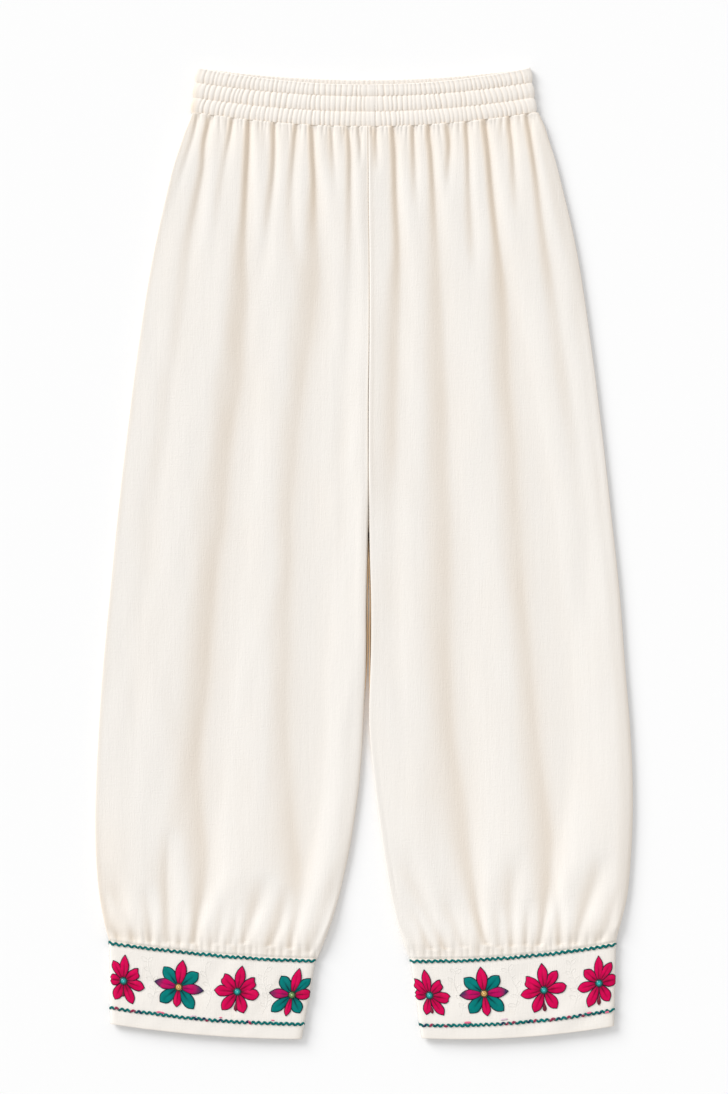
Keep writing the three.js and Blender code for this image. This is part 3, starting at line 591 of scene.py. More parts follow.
    # how deep a point lies in a fold and how steeply it falls away from the key light: painted warm shade, also near
    # the waist and cuff seams
    if front:
        k = 17
        soft = row_blur(Zt, 3)
        slope_away_from_key = np.maximum(-np.gradient(soft, axis=1) / np.where(np.abs(np.gradient(X, axis=1)) < 1e-3, sg * 1e-3, np.gradient(X, axis=1)), 0.0)
        painted_shade = 0.13 * np.maximum(row_blur(row_blur(Zt, k), k) - Zt, 0.0) + 2.9 * np.minimum(slope_away_from_key, 0.45) * mix(0.35, 1.0, smooth(0, 26, do if side == "right" else di))
        painted_shade += 0.28 * smooth(34, 4, Db) * smooth(0, 10, np.minimum(do, di)) + 0.22 * smooth(60, 8, Dt)
        if side == "left":
            # painted shade along the left outer edge, over the lower left of the leg and in the centre seam crevice
            painted_shade += 0.55 * np.exp(-(do / 2.2) ** 2) + 0.3 * smooth(44, 4, do) * smooth(-220, -320, Y) + 0.6 * (1 - b) * np.exp(-(di / 0.8) ** 2)
        painted_shade = np.clip(row_blur(painted_shade, 2), 0, 1.25)
    else:
        # painted warm shade on the back's inner face, stronger where its folds and the cuff lift it
        painted_shade = np.clip(0.35 * np.maximum(Z - CLOTH / 2, 0.0), 0, 1.1)
        # painted warm shade on the inside where it shows through the slit between the legs
        slit = np.exp(-(di / 9.0) ** 2)
        painted_shade = np.maximum(painted_shade, slit) + 1.3 * np.exp(-(di / 7.0) ** 2) * smooth(60, -10, Y) * smooth(-230, -120, Y)
    return zone_shell(f"cloth_leg_{face}_{side}", outer, inner, dense, {"painted_shade": painted_shade})


# =====================================================================================
# Waistband
# =====================================================================================
def shirr_lines(seed, x0, x1, pitch):
    """Positions and depths of the little valleys of one elastic row, uneven as elastic makes them."""
    rng = np.random.default_rng(seed)
    xs, ds, x = [], [], x0
    while x < x1:
        xs.append(x)
        ds.append(rng.uniform(0.55, 1.2))
        x += pitch * rng.uniform(0.74, 1.3)
    return np.array(xs), np.array(ds)


def shirr(lines, X):
    """Round arches between sharp valleys."""
    xs, ds = lines
    j = np.clip(np.searchsorted(xs, X) - 1, 0, len(xs) - 2)
    u = 2 * (X - xs[j]) / (xs[j + 1] - xs[j]) - 1
    return -np.where(u < 0, ds[j], ds[j + 1]) * np.minimum(np.abs(u), 1.2) ** 3.0


def band_piece(name, face, x0, x1, round0, round1, seeds):
    per = 14
    width = (x1 if x1 is not None else BAND_X + 173) - (x0 if x0 is not None else BAND_X - 173)
    step = 0.72 if face == "front" else 1.05
    n = int(width / step)
    th = np.linspace(0, math.pi / 2, 8)[:-1]
    RX = 7.0
    first = 1 if face == "front" else 0
    cols_k = np.concatenate([np.zeros(len(th)) if round0 else [], np.ones(n + 1), np.full(len(th), 2) if round1 else []])
    ang = np.concatenate([th if round0 else [], np.full(n + 1, math.pi / 2), th[::-1] if round1 else []])
    uu = np.concatenate([np.zeros(len(th)) if round0 else [], np.linspace(0, 1, n + 1), np.ones(len(th)) if round1 else []])
    rows_k, rows_f = [], []
    for k in range(3):
        fs = (1 - np.cos(np.linspace(0, np.pi, per + 1))) / 2
        fs = mix(fs, np.linspace(0, 1, per + 1), 0.45)
        for f in fs[: per if k < 2 else per + 1]:
            rows_k.append(k)
            rows_f.append(f)
    # extra rows that turn the cloth over the top edge
    top = [(0, 0.0), (0, 0.012), (0, 0.035)]
    rk = np.array([a for a, _ in top] + rows_k[1:])[:, None]
    rf = np.array([b for _, b in top] + rows_f[1:])[:, None]
    up_row = np.where(rk == 0, first, rk + 1)
    R = rk.shape[0]
    rows = np.array(BAND_ROWS)
    half = mix(rows[up_row, 2], rows[rk + 2, 2], rf) + 1.5 * np.sin(np.pi * rf) - 0.5
    lo = np.broadcast_to(BAND_X - half if round0 else np.full_like(half, x0), (R, 1))
    hi = np.broadcast_to(BAND_X + half if round1 else np.full_like(half, x1), (R, 1))
    inlo, inhi = (lo + RX if round0 else lo), (hi - RX if round1 else hi)
    X = np.where(cols_k == 0, lo + RX * (1 - np.cos(ang)), np.where(cols_k == 2, hi - RX * (1 - np.cos(ang)), mix(inlo, inhi, uu)))
    q = np.broadcast_to(np.sin(ang)[None, :], X.shape)
    # every row wanders a little, as a hand-guided stitch line does
    wob = 0.25 * np.sin(X / 17.0 + 1.3 * up_row) + 0.18 * np.sin(X / 6.1 + 2.1 * up_row)
    yu = np.zeros_like(X)
    yl = np.zeros_like(X)
    for r in range(5):
        m = np.broadcast_to(up_row == r, X.shape)
        yu[m] = band_row(r, X)[m]
        m = np.broadcast_to(rk + 2 == r, X.shape)
        yl[m] = band_row(r, X)[m]
    f = np.broadcast_to(rf, X.shape)
    Y = mix(yu, yl, f) + wob * np.sin(np.pi * f)
    # relief: a pillow for every elastic row, and ridges that bow outwards and spread downwards
    pillow = np.sin(np.pi * f) ** mix(0.62, 1.0, smooth(0.3, 0.7, f))
    t0 = np.broadcast_to(np.where(rk == 0, 1.0, 0.0), X.shape)
    pillow = mix(pillow, np.maximum(pillow, np.cos(np.clip(f, 0, 0.5) * np.pi) ** 0.5 * 0.85), t0 * (f < 0.5))
    rel = np.zeros_like(X)
    for k in range(3):
        m = np.broadcast_to(rk == k, X.shape)
        xs = BAND_X + (X - BAND_X) / (1 + 0.029 * (f - 0.5) + (1.1 / 170) * (1 - (2 * f - 1) ** 2)) + 0.32 * np.sin(3.0 * f + X / 9.0)
        z = shirr(seeds[k], xs)
        rel[m] = z[m]
    ends = smooth(0.5, 11, np.minimum(X - (BAND_X - 170), (BAND_X + 170) - X))
    edge = np.exp(-((f - 0.0) / 0.045) ** 2) * (rk > 0) + np.exp(-((1 - f) / 0.045) ** 2)
    thick = 2.7 + 0.82 * pillow
    if face == "front":
        zi = BAND_SEAM_Z + SEAM / 2 + band_lens(X)
        plain = np.exp(-((X - (BAND_SEAM_X - 4.6)) / 5.0) ** 4)  # the smoother strip beside the centre seam
        relief = rel * (0.8 + 0.3 * (1 - pillow)) * (1 - 0.75 * plain) * mix(0.4, 1.0, ends)
        zo = zi + thick + relief - 0.12 * edge
        zo = zo - 0.4 * np.exp(-((X - BAND_SEAM_X) / 0.6) ** 2)
        Zo = mix(zi + 1.2, zo, q)
        turn = np.broadcast_to(np.where((rk == 0) & (rf < 0.04), np.sqrt(np.clip(rf / 0.04, 0, 1)), 1.0), X.shape)
        Zo = mix(zi + 1.7 + relief * 0.3, Zo, turn)
        Zi = zi + 0.3 * np.abs(rel) * q * 0.8
        # painted shade: darker in the valleys, at the stitch lines and on the lower part of each row
        painted_shade = np.clip(-relief * 0.75 + 0.25 * edge + 0.3 * smooth(0.55, 1.0, f), 0, 1.2)
    else:
        zi = np.full_like(X, BAND_SEAM_Z - SEAM / 2)
        Zi = zi + rel * 0.62 * q * (0.5 + 0.5 * pillow) - 0.45 * (1 - pillow) * q
        zo = np.maximum(0.0, 1.0 - 1.0 * pillow - rel * 0.65)
        Zo = mix(zi - 1.2, zo, q)
        turn = np.broadcast_to(np.where((rk == 0) & (rf < 0.04), np.sqrt(np.clip(rf / 0.04, 0, 1)), 1.0), X.shape)
        Zo = mix(1.6, Zo, turn)
        Zi = mix(2.3, Zi, turn)
        # painted shade in the valleys and at the stitch lines
        painted_shade = np.clip(-rel * 0.5 + 0.15 * edge, 0, 1.0)
    Zo = np.maximum(Zo, 0.0)
    # painted shade at the band's left end
    painted_shade = np.maximum(painted_shade, 1.1 * np.exp(-((X - (BAND_X - 172)) / 5.0) ** 2))
    X = X - 1.7 * smooth(70, 165, BAND_X - X) - 2.2 * smooth(70, 165, X - BAND_X)
    outer = np.stack([X, Y, Zo], 2)
    inner = np.stack([X, Y, Zi], 2)
    return shell(name, outer, inner, attrs={"painted_shade": painted_shade})


# =====================================================================================
# Cuffs
# =====================================================================================
CUFF_REACH = 7.0


class CuffFace:
    """The outer face of one cuff: maps a length along the cloth and a length down it to a point and a normal."""

    def __init__(self, side, face):
        self.side, self.face = side, face
        self.up = 1.0 if face == "front" else -1.0
        th = np.linspace(0, math.pi / 2, 14)
        width = abs(cuff_plan(side, 1.0, 0.5)[0] - cuff_plan(side, 0.0, 0.5)[0])
        self.width = width
        self.depth = abs(cuff_plan(side, 0.5, 1.0)[1] - cuff_plan(side, 0.5, 0.0)[1])
        reach = CUFF_REACH if face == "front" else 4.5
        e = CUFF_WALL / 2
        off = np.concatenate([e + reach * (1 - np.cos(th)), np.linspace(e + reach, width - e - reach, 60)[1:-1], width - e - reach * (1 - np.cos(th[::-1]))])
        q = np.concatenate([np.sin(th), np.ones(58), np.sin(th[::-1])])
        foot = CUFF_SEAM_Z + self.up * SEAM / 2
        s = off / width
        flat = CUFF_TOP + 0.7 * 4 * s * (1 - s) if face == "front" else np.full_like(s, CUFF_UNDER + CUFF_WALL / 2)
        z = mix(foot, flat, q)
        a = np.concatenate([[0], np.cumsum(np.hypot(np.diff(off), np.diff(z)))])
        self.s, self.z, self.a, self.length = s, z, a, a[-1]
        dz, dx = np.gradient(z, a), np.gradient(off, a)
        self.nx, self.nz = -dz * self.up * self.up, dx
        ln = np.hypot(self.nx, self.nz)
        self.nx, self.nz = -dz / ln * self.up, dx / ln * self.up
        rng = np.random.default_rng(hash_name(side, face))
        self.waves = [(rng.uniform(24, 70), rng.uniform(26, 60), rng.uniform(0, 6.28), rng.uniform(0, 6.28), rng.uniform(-0.6, 0.6)) for _ in range(7)]

    def a_of(self, s):
        return np.interp(s, self.s, self.a)

    def ripple(self, a, t):
        z = np.zeros_like(a)
        y = t * self.depth
        for lx, ly, p, r, k in self.waves:
            z += np.sin((a + k * y) * 6.283 / lx + p) * np.cos(y * 6.283 / ly + r)
        z *= 0.12
        ends = smooth(3, 20, a) * smooth(3, 20, self.length - a)
        return z * ends if self.up > 0 else z * 0.0

    def point(self, a, t, lift=0.0):
        """a along the cloth from the left seam, t down the cuff (0 top, 1 hem); returns points and normals."""
        a, t = np.broadcast_arrays(np.asarray(a, float), np.asarray(t, float))
        s, z = np.interp(a, self.a, self.s), np.interp(a, self.a, self.z)
        nx, nz = np.interp(a, self.a, self.nx), np.interp(a, self.a, self.nz)
        x, y = cuff_plan(self.side, s, t)
        h = CUFF_WALL / 2 + lift + self.ripple(a, t)
        n = np.stack([nx, np.zeros_like(nx), nz], -1)
        return np.stack([x, y, z], -1) + n * h[..., None], n


def hash_name(*parts):
    return sum((i + 3) * ord(ch) for i, ch in enumerate("".join(parts)))


FACES = {(s, f): CuffFace(s, f) for s in ("left", "right") for f in ("front", "back")}


def cuff_panel(side, face):
    cf = FACES[(side, face)]
    n = 132 if face == "front" else 84
    e = 12 if face == "front" else 9
    a = np.concatenate([np.linspace(0, 14, e)[:-1], np.linspace(14, cf.length - 14, n), np.linspace(cf.length - 14, cf.length, e)[1:]])[None, :]
    d = cf.depth
    m = 50 if face == "front" else 34
    ts = np.concatenate([[0, 0.12 / d, 0.35 / d, 0.75 / d], np.linspace(1.5 / d, 1 - 2 / d, m), [1 - 1.3 / d, 1 - 0.7 / d, 1 - 0.3 / d, 1 - 0.08 / d, 1.0]])[:, None]
    # half thickness: full in the middle, round at the folded hem and a little at the top
    dist = (1 - ts) * d
    rad = CUFF_WALL / 2
    h = np.where(dist < rad, np.sqrt(np.maximum(rad**2 - (rad - dist) ** 2, 0.0)) * 0.94 + 0.045, rad)
    h = np.minimum(h, 0.42 + 0.33 * np.sqrt(np.clip(ts * d / 0.75, 0, 1)))
    shape = (len(ts), a.shape[1])
    P, N = cf.point(np.broadcast_to(a, shape), np.broadcast_to(ts, shape), lift=-rad)
    A, T = np.broadcast_to(a, shape), np.broadcast_to(ts, shape)
    # soft pull lines below the gathers, the line where the facing ends, and the hollow the upper braid presses in
    rel = np.zeros(shape)
    if face == "front":
        rel -= 0.14 * np.exp(-((dist - 15.0) / 0.7) ** 2)
        rel += tucks(CUFF_TUCKS[side], P[..., 0], T * d, 1.6, 1.5, 0.34)
        rel -= 0.16 * np.exp(-((ts * d - 3.6) / 1.6) ** 2)
        rng = np.random.default_rng(900 + hash_name(side))
        for _ in range(26):
            a0, t0, w, ln, sl = rng.uniform(6, cf.length - 6), rng.uniform(0.08, 0.95), rng.uniform(1.1, 2.4), rng.uniform(5, 15), rng.uniform(-0.7, 0.7)
            y = (T - t0) * d
            rel -= rng.uniform(0.06, 0.16) * np.exp(-((A - a0 - sl * y) / w) ** 2) * np.exp(-(y / ln) ** 2)
        rel *= smooth(1, 6, A) * smooth(1, 6, cf.length - A)
    outer, inner = P + N * (h + rel)[..., None], P - N * h[..., None]
    if face == "back":
        outer[..., 2] = np.maximum(outer[..., 2], 0.0)
    # painted shade: darker in the creases, along the folded hem, at the top edge and at the right end
    cuff_painted_shade = np.clip(-rel * 2.2 + 0.55 * np.exp(-(dist / 2.4) ** 2) + 0.35 * np.exp(-(T * d / 1.2) ** 2) + 0.5 * np.exp(-((cf.length - A) / 7.0) ** 2), 0, 1)
    return shell(f"cloth_cuff_{face}_{side}", outer, inner, attrs={"painted_shade": cuff_painted_shade})


# ---- tubes that lie on a cuff ----
def tube(co, frames_n, w, h, sides=8, close=False):
    """Tube along points co with normals frames_n: half width w, half height h. Returns verts, faces, uv."""
    co = np.asarray(co, float)
    n = np.asarray(frames_n, float)
    m = len(co)
    if close:
        tang = np.roll(co, -1, 0) - np.roll(co, 1, 0)
    else:
        tang = np.gradient(co, axis=0)
    tang /= np.maximum(np.linalg.norm(tang, axis=1, keepdims=True), 1e-9)
    side = np.cross(tang, n)
    side /= np.maximum(np.linalg.norm(side, axis=1, keepdims=True), 1e-9)
    n2 = np.cross(side, tang)
    w = np.broadcast_to(w, (m,))[:, None, None]
    h = np.broadcast_to(h, (m,))[:, None, None]
    th = np.arange(sides) * 2 * math.pi / sides
    ring = co[:, None, :] + side[:, None, :] * (np.cos(th)[None, :, None] * w) + n2[:, None, :] * (np.sin(th)[None, :, None] * h)
    V = ring.reshape(-1, 3)
    r = np.arange(m if close else m - 1)
    k = np.arange(sides)
    A = (r[:, None] * sides + k[None, :]).ravel()
    B = (r[:, None] * sides + (k[None, :] + 1) % sides).ravel()
    Cc = (((r[:, None] + 1) % m) * sides + (k[None, :] + 1) % sides).ravel()
    D = (((r[:, None] + 1) % m) * sides + k[None, :]).ravel()
    F = np.stack([A, B, Cc, D], 1)
    L = np.concatenate([[0], np.cumsum(np.linalg.norm(np.diff(co, axis=0), axis=1))])
    UV = np.stack([np.repeat(L, sides), np.tile(th / (2 * math.pi), m)], 1)
    tris = []
    if not close:
        V = np.concatenate([V, co[:1], co[-1:]])
        UV = np.concatenate([UV, [[0, 0]], [[L[-1], 0]]])
        c0, c1 = m * sides, m * sides + 1
        for j in range(sides):
            tris.append((c0, (j + 1) % sides, j))
            tris.append((c1, (m - 1) * sides + j, (m - 1) * sides + (j + 1) % sides))
    return V, F, np.array(tris, int).reshape(-1, 3), UV


class Pile:
    """Many small closed meshes joined into one piece."""

    def __init__(self):
        self.v, self.q, self.t, self.uv, self.n = [], [], [], [], 0

    def add(self, V, Q, T=None, UV=None):
        if volume(V, Q) + (volume(V, T) if T is not None and len(T) else 0) < 0:
            Q = Q[:, ::-1]
            T = T[:, ::-1] if T is not None and len(T) else T
        self.v.append(V)
        self.q.append(Q + self.n)
        if T is not None and len(T):
            self.t.append(T + self.n)
        self.uv.append(np.zeros((len(V), 2)) if UV is None else UV)
        self.n += len(V)

    def build(self, name):
        if not self.v:
            return None
        faces = [np.concatenate(self.q)]
        if self.t:
            faces.append(np.concatenate(self.t))
        return new_object(name, np.concatenate(self.v), faces, uv=np.concatenate(self.uv))


def locate(side, X, Y):
    """Share across and share down of a page point on a cuff."""
    to, ti, hi, ho, dip = CUFF_PLAN[side]
    a, b, d, e = (to, ti, hi, ho) if side == "left" else (ti, to, ho, hi)
    t = 0.5
    for _ in range(6):
        xl, xr = mix(a[0], e[0], t), mix(b[0], d[0], t)
        s = min(max((X - xl) / (xr - xl), 0.0), 1.0)
        yt, yb = mix(a[1], b[1], s), mix(e[1], d[1], s)
        t = (Y + 4 * dip * s * (1 - s) - yt) / (yb - yt)
    return s, t


# small patches of other thread in the lower braid: (X as in the fold tables, length in mm, shade)
FLECKS = {
    "left": [(118, 3.4, "red"), (134, 4.2, "red"), (141, 3.4, "navy"), (197, 2.8, "navy"), (205, 2.4, "navy"), (208, 2.2, "red"), (221, 3.2, "navy"), (248, 2.6, "navy"), (250.5, 2.6, "red")],
    "right": [(425, 3.2, "navy"), (431, 3.0, "red"), (445.5, 2.6, "red"), (502, 3.0, "navy"), (506, 2.6, "red"), (513, 2.6, "red"), (528, 2.8, "navy"), (534, 2.8, "red"),
              (551, 5.0, "red"), (558, 2.4, "navy"), (568, 3.4, "red"), (579, 2.4, "navy"), (582, 2.4, "red"), (599, 2.6, "navy")],
}


RISE = {  # how far the front braids climb above their even line, from the left end to the right one, mm
    ("left", "upper"): (1.0, 1.3, 1.2, 0.7, 0.4), ("left", "lower"): (2.4, 2.0, 1.6, 1.5, 1.2),
    ("right", "upper"): (0.5, 1.0, 1.4, 1.3, 0.9), ("right", "lower"): (-0.6, 0.3, 1.0, 1.3, 2.3),
}


def wavy_trim(side, face, t0, name):
    cf = FACES[(side, face)]
    pitch, amp = 5.6, 0.95
    step = 0.5
    a = np.arange(0.35, cf.length - 0.35, step)
    rng = np.random.default_rng(hash_name(name))
    wob = np.interp(a, np.linspace(0, cf.length, 30), rng.normal(0, 0.5, 30))
    lane = np.interp(a, np.linspace(0, cf.length, 24), rng.normal(0, 0.16, 24))
    y = amp * np.sin(2 * math.pi * a / pitch + wob) + lane
    if face == "front":
        y = y + hermite(np.linspace(0, cf.length, 5), np.array(RISE[(side, "upper" if t0 < 0.5 else "lower")]), a)
    t = t0 - y / cf.depth
    lift = 0.5 + 0.12 * np.sin(2 * math.pi * a / (pitch / 2) + 1.0)
    P, N = cf.point(a, t, lift=lift)
    fat = 1 + 0.12 * np.sin(2 * math.pi * a / (pitch / 2) + 0.4) + np.interp(a, np.linspace(0, cf.length, 60), rng.normal(0, 0.06, 60))
    low = 0.62 if face == "front" else 0.5
    V, F, T, UV = tube(P, N, 1.12 * fat, low * fat, 8)
    if face == "back":
        V[:, 2] = np.maximum(V[:, 2], 0.0)
    red, navy = np.zeros(len(V)), np.zeros(len(V))
    if face == "front" and t0 > 0.5:
        for x, ln, shade in FLECKS[side]:
            s, _ = locate(side, px(x), cuff_plan(side, float(cuff_share(side, px(x))), t0)[1])
            w = np.clip(1.6 - np.abs(UV[:, 0] * cf.length / UV[:, 0].max() - float(cf.a_of(s))) / (ln / 2), 0, 1)
            if shade == "red":
                red = np.maximum(red, w)
            else:
                navy = np.maximum(navy, w)
    if volume(V, F) + volume(V, T) < 0:
        F, T = F[:, ::-1], T[:, ::-1]
    return new_object(name, V, [F, T], uv=UV, attrs={"fleck_red": red, "fleck_navy": navy})


# ---- flowers ----
# A petal: thread, direction in degrees from straight up (clockwise), length from the bead's middle, width,
# where it is widest (0..1), how full the tip is, share of the width left at the tip, lead of one tip corner.
def pointed(thread, deg, length, width, wide=0.55):
    return (thread, deg, length, width, wide, 1.7, 0.0, 0.0)


def cornered(thread, deg, length, width, wide=0.62):
    return (thread, deg, length, width, wide, 2.1, 0.0, 0.0)


def blunt(thread, deg, length, width):
    return (thread, deg, length, width, 0.6, 3.0, 0.32, 0.0)


def double(thread, deg, length, width, end, lead):
    return (thread, deg, length, width, 0.6, 3.0, end, lead)


M, T_, U = "magenta", "teal", "purple"
PLAIN_A = [cornered(M, -154.7, 21.1, 9.5), cornered(M, 156.5, 23.3, 9.5), blunt(M, -90, 12.8, 11), cornered(M, 101, 21.2, 10.5),
           cornered(M, -29, 21, 8.5), double(M, 54.3, 18.5, 10, 0.6, -1.5), pointed(M, 3.9, 25.8, 8.6)]
MIXED_A = [cornered(T_, -132.2, 24.4, 12), cornered(T_, 141, 25.7, 12), cornered(T_, -39.8, 24, 12), cornered(T_, 49.3, 24.2, 12),
           pointed(M, 184, 19.9, 7.7, 0.7), pointed(U, -81.8, 24.2, 10.2), pointed(U, 93.5, 24.9, 10), pointed(M, 5.2, 27, 10.8)]
PLAIN_B = [cornered(M, -145, 23.3, 11), cornered(M, 157, 22.6, 11), cornered(M, -90, 22.8, 11), double(M, 98.3, 21.4, 11.3, 0.25, -0.4),
           double(M, -47, 20.9, 11, 0.58, 1.1), double(M, 55.6, 20.1, 11, 0.58, -1.1), pointed(M, 5.6, 25.9, 10)]
MIXED_B = [cornered(T_, -134.6, 24.9, 11), cornered(T_, 149.8, 21.1, 11), cornered(T_, -35.9, 22.6, 11), cornered(T_, 43.5, 22.9, 9),
           pointed(M, 186.6, 21.4, 6.4, 0.7), blunt(M, 86.8, 17.7, 10.5), pointed(U, -85, 22.5, 9.6), pointed(M, 8.2, 27, 9.2)]
PLAIN_C = [cornered(M, -163.7, 20.6, 8), cornered(M, 150.3, 23.3, 9.5), blunt(M, -87, 13.6, 10.3), double(M, 101, 19.7, 11.3, 0.48, -0.6),
           double(M, -42.4, 18.9, 9, 0.46, 1.9), double(M, 45, 18.4, 9.5, 0.56, -1.6), pointed(M, -4.2, 26.2, 8.5)]
MIXED_C = [cornered(T_, -141.3, 25, 12), cornered(T_, 133.9, 25.8, 12), cornered(T_, -49, 24.3, 12), cornered(T_, 42.3, 23.4, 12),
           pointed(M, 176.1, 22.6, 8.3, 0.7), pointed(U, -92.4, 24.3, 10.2), pointed(U, 87.8, 24.2, 10.2), pointed(M, -3.5, 26.6, 10.6)]
PLAIN_D = [cornered(M, -153.7, 23.5, 10.5), cornered(M, 146, 22.9, 10.5), cornered(M, -98.5, 23.3, 10), double(M, 87.5, 22, 10.6, 0.22, -0.4),
           double(M, -58, 21.3, 11, 0.6, 1.3), cornered(M, 37.5, 22.2, 10), pointed(M, -3.4, 26.6, 10)]
PLAIN_E = [cornered(M, -153.9, 24.2, 10), cornered(M, 150.9, 21.7, 10), cornered(M, -97.5, 21.4, 10.4), blunt(M, 85, 16.8, 11.8),
           cornered(M, -44.2, 21, 9.5), cornered(M, 33.2, 21.8, 9), pointed(M, -2.2, 26.8, 8.6)]
FLOWERS = {  # share of the cuff's width at the flower's centre, bead, petals from the lowest up, bud (from, to, width, sideways) or None
    ("left", "front"): [(0.062, "teal", PLAIN_A, (12, 15.6, 2.6, -0.5)), (0.342, "gold", MIXED_A, None), (0.637, "teal", PLAIN_B, (12, 19.6, 4, 0.2)), (0.918, "green", MIXED_B, None)],
    ("right", "front"): [(0.075, "teal", PLAIN_C, (13, 18.6, 3.4, 0.6)), (0.350, "gold", MIXED_C, None), (0.652, "teal", PLAIN_D, (15, 21, 4.2, 0.2)), (0.925, "teal", PLAIN_E, (13.4, 21.5, 4, 0.2))],
    ("left", "back"): [(0.2, "teal", MIXED_C, None), (0.485, "gold", PLAIN_B, (12, 19.6, 4, 0)), (0.77, "teal", MIXED_A, None)],
    ("right", "back"): [(0.205, "teal", PLAIN_D, (14, 20, 4, 0)), (0.49, "gold", MIXED_A, None), (0.78, "teal", PLAIN_B, (13, 20, 4, 0))],
}
BEAD_T = 0.452
BEAD_R = 4.0


def petal_half(u, wide, full, end):
    """Half width along a petal as a share of its full half width."""
    rise = np.sin(np.clip(u / (wide * 2), 0, 0.5) * math.pi) ** 0.85
    k = np.clip((u - wide) / (1 - wide), 0, 1)
    return np.where(u < wide, 0.26 + 0.74 * rise, end + (1 - end) * (1 - k ** full))


def petal(cf, ac, tc, spec, rng, lift0):
    _, deg, L, W, wide, full, end, lead = spec
    th = math.radians(deg)
    nu, nv = ((15, 11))
    start = BEAD_R - 0.9
    bend = rng.uniform(-0.4, 0.4)
    ph = rng.uniform(0, 3)

    def plan(u, v):
        hw = np.maximum(petal_half(u, wide, full, end) * W / 2, 0.1)
        r = start + u * (L - start) + lead * v * u**4
        if end > 0.3:
            r = r - 0.8 * (1 - v**2) * u**8
        side = (v * hw + bend * u * u) * (1 + 0.025 * np.sin(u * 15 + ph) * (u > 0.5))
        dx = r * math.sin(th) + side * math.cos(th)
        dy = r * math.cos(th) - side * math.sin(th)
        return np.clip(ac + dx, 0.35, cf.length - 0.35), tc - dy / cf.depth

    u = np.broadcast_to(np.linspace(0, 1, nu)[:, None], (nu, nv))
    v = np.broadcast_to(np.linspace(-1, 1, nv)[None, :], (nu, nv))
    a, t = plan(u, v)
    dome = np.sqrt(np.clip(1 - v**2 * 0.96, 0, 1)) * (0.35 + 0.65 * np.sin(np.clip(u * 1.04, 0, 1) * math.pi) ** 0.4)
    vein = np.exp(-(v / 0.13) ** 2) * smooth(0.0, 0.15, u) * (1 - smooth(0.55, 0.9, u))
    thick = (0.62 if cf.face == "front" else 0.5) * dome - 0.22 * vein
    top, _ = cf.point(a, t, lift=lift0 + 0.14 + thick)
    bot, _ = cf.point(a, t, lift=lift0 - 0.16)
    V = np.concatenate([top.reshape(-1, 3), bot.reshape(-1, 3)])
    F, _ = shell_faces(nu, nv)
    uv = np.stack([start + u * (L - start), v * 0.5 + 0.5], 2).reshape(-1, 2)
    # the outline runs up one side, across the tip and down the other
    m = 20
    k = 3 if end < 0.1 else 7
    uo = np.concatenate([np.linspace(0.03, 1, m), np.ones(k - 2), np.linspace(1, 0.03, m)])
    vo = np.concatenate([-np.ones(m), np.linspace(-1, 1, k)[1:-1], np.ones(m)])
    ao, to = plan(uo, vo)
    Po, No = cf.point(ao, to, lift=lift0 + 0.15)
    return (V, F, np.concatenate([uv, uv])), (Po, No)


NUDGE = {  # small shifts of the front flowers off their even row: mm along the cuff, mm up
    "left": ((1.8, 0.0), (0.9, 0.7), (0.4, 1.0), (-1.3, 0.0)),
    "right": ((-0.7, 0.0), (-1.1, 1.2), (-1.8, 0.3), (-1.4, 0.0)),
}


def flower_at(side, face, k):
    cf = FACES[(side, face)]
    dx, up = NUDGE[side][k] if face == "front" else (0.0, 0.0)
    return float(cf.a_of(FLOWERS[(side, face)][k][0])) + dx, BEAD_T - up / cf.depth


def flowers(side, face):
    cf = FACES[(side, face)]
    piles = {k: Pile() for k in ("magenta", "teal", "purple", "outline")}
    for k, (s, bead_kind, petals, bud) in enumerate(FLOWERS[(side, face)]):
        rng = np.random.default_rng(100 * k + hash_name(side, face))
        ac, tc = flower_at(side, face, k)
        for j, spec in enumerate(petals):
            (V, F, UV), (Po, No) = petal(cf, ac, tc, spec, rng, 0.02 + 0.05 * j)
            if face == "back":
                V[:, 2] = np.maximum(V[:, 2], 0.02)
            piles[spec[0]].add(V, F, None, UV)
            w = 0.4 * rng.uniform(0.85, 1.15)
            V, F, T, UV = tube(Po, No, w, w, 6)
            if face == "back":
                V[:, 2] = np.maximum(V[:, 2], 0.02)
            piles["outline"].add(V, F, T, UV)
    return piles, cf


# ---- other stitch work ----
def stitch_run(cf, pts, w, h, lift, sides=6):
    """A thin raised line through (a, t) stations, smoothed."""
    pts = np.asarray(pts, float)
    k = np.linspace(0, len(pts) - 1, 10 * (len(pts) - 1) + 1)
    a = hermite(np.arange(len(pts)), pts[:, 0], k)
    t = hermite(np.arange(len(pts)), pts[:, 1], k)
    taper = np.minimum(1, 0.3 + 3.5 * np.minimum(k / k[-1], 1 - k / k[-1]))
    P, N = cf.point(a, t, lift=lift)
    return tube(P, N, w * taper, h * taper, sides)


def leaf_line(cf, a, t, ang, L, W):
    """Outline of a small leaf that starts at (a, t) and points along ang."""
    u = np.linspace(0, 1, 9)
    half = W / 2 * np.sin(u * math.pi) ** 0.8
    xs = np.concatenate([half, -half[::-1][1:]])
    ys = np.concatenate([u * L, (u * L)[::-1][1:]])
    dx = ys * math.sin(ang) + xs * math.cos(ang)
    dy = ys * math.cos(ang) - xs * math.sin(ang)
    return np.stack([a + dx, t - dy / cf.depth], 1)


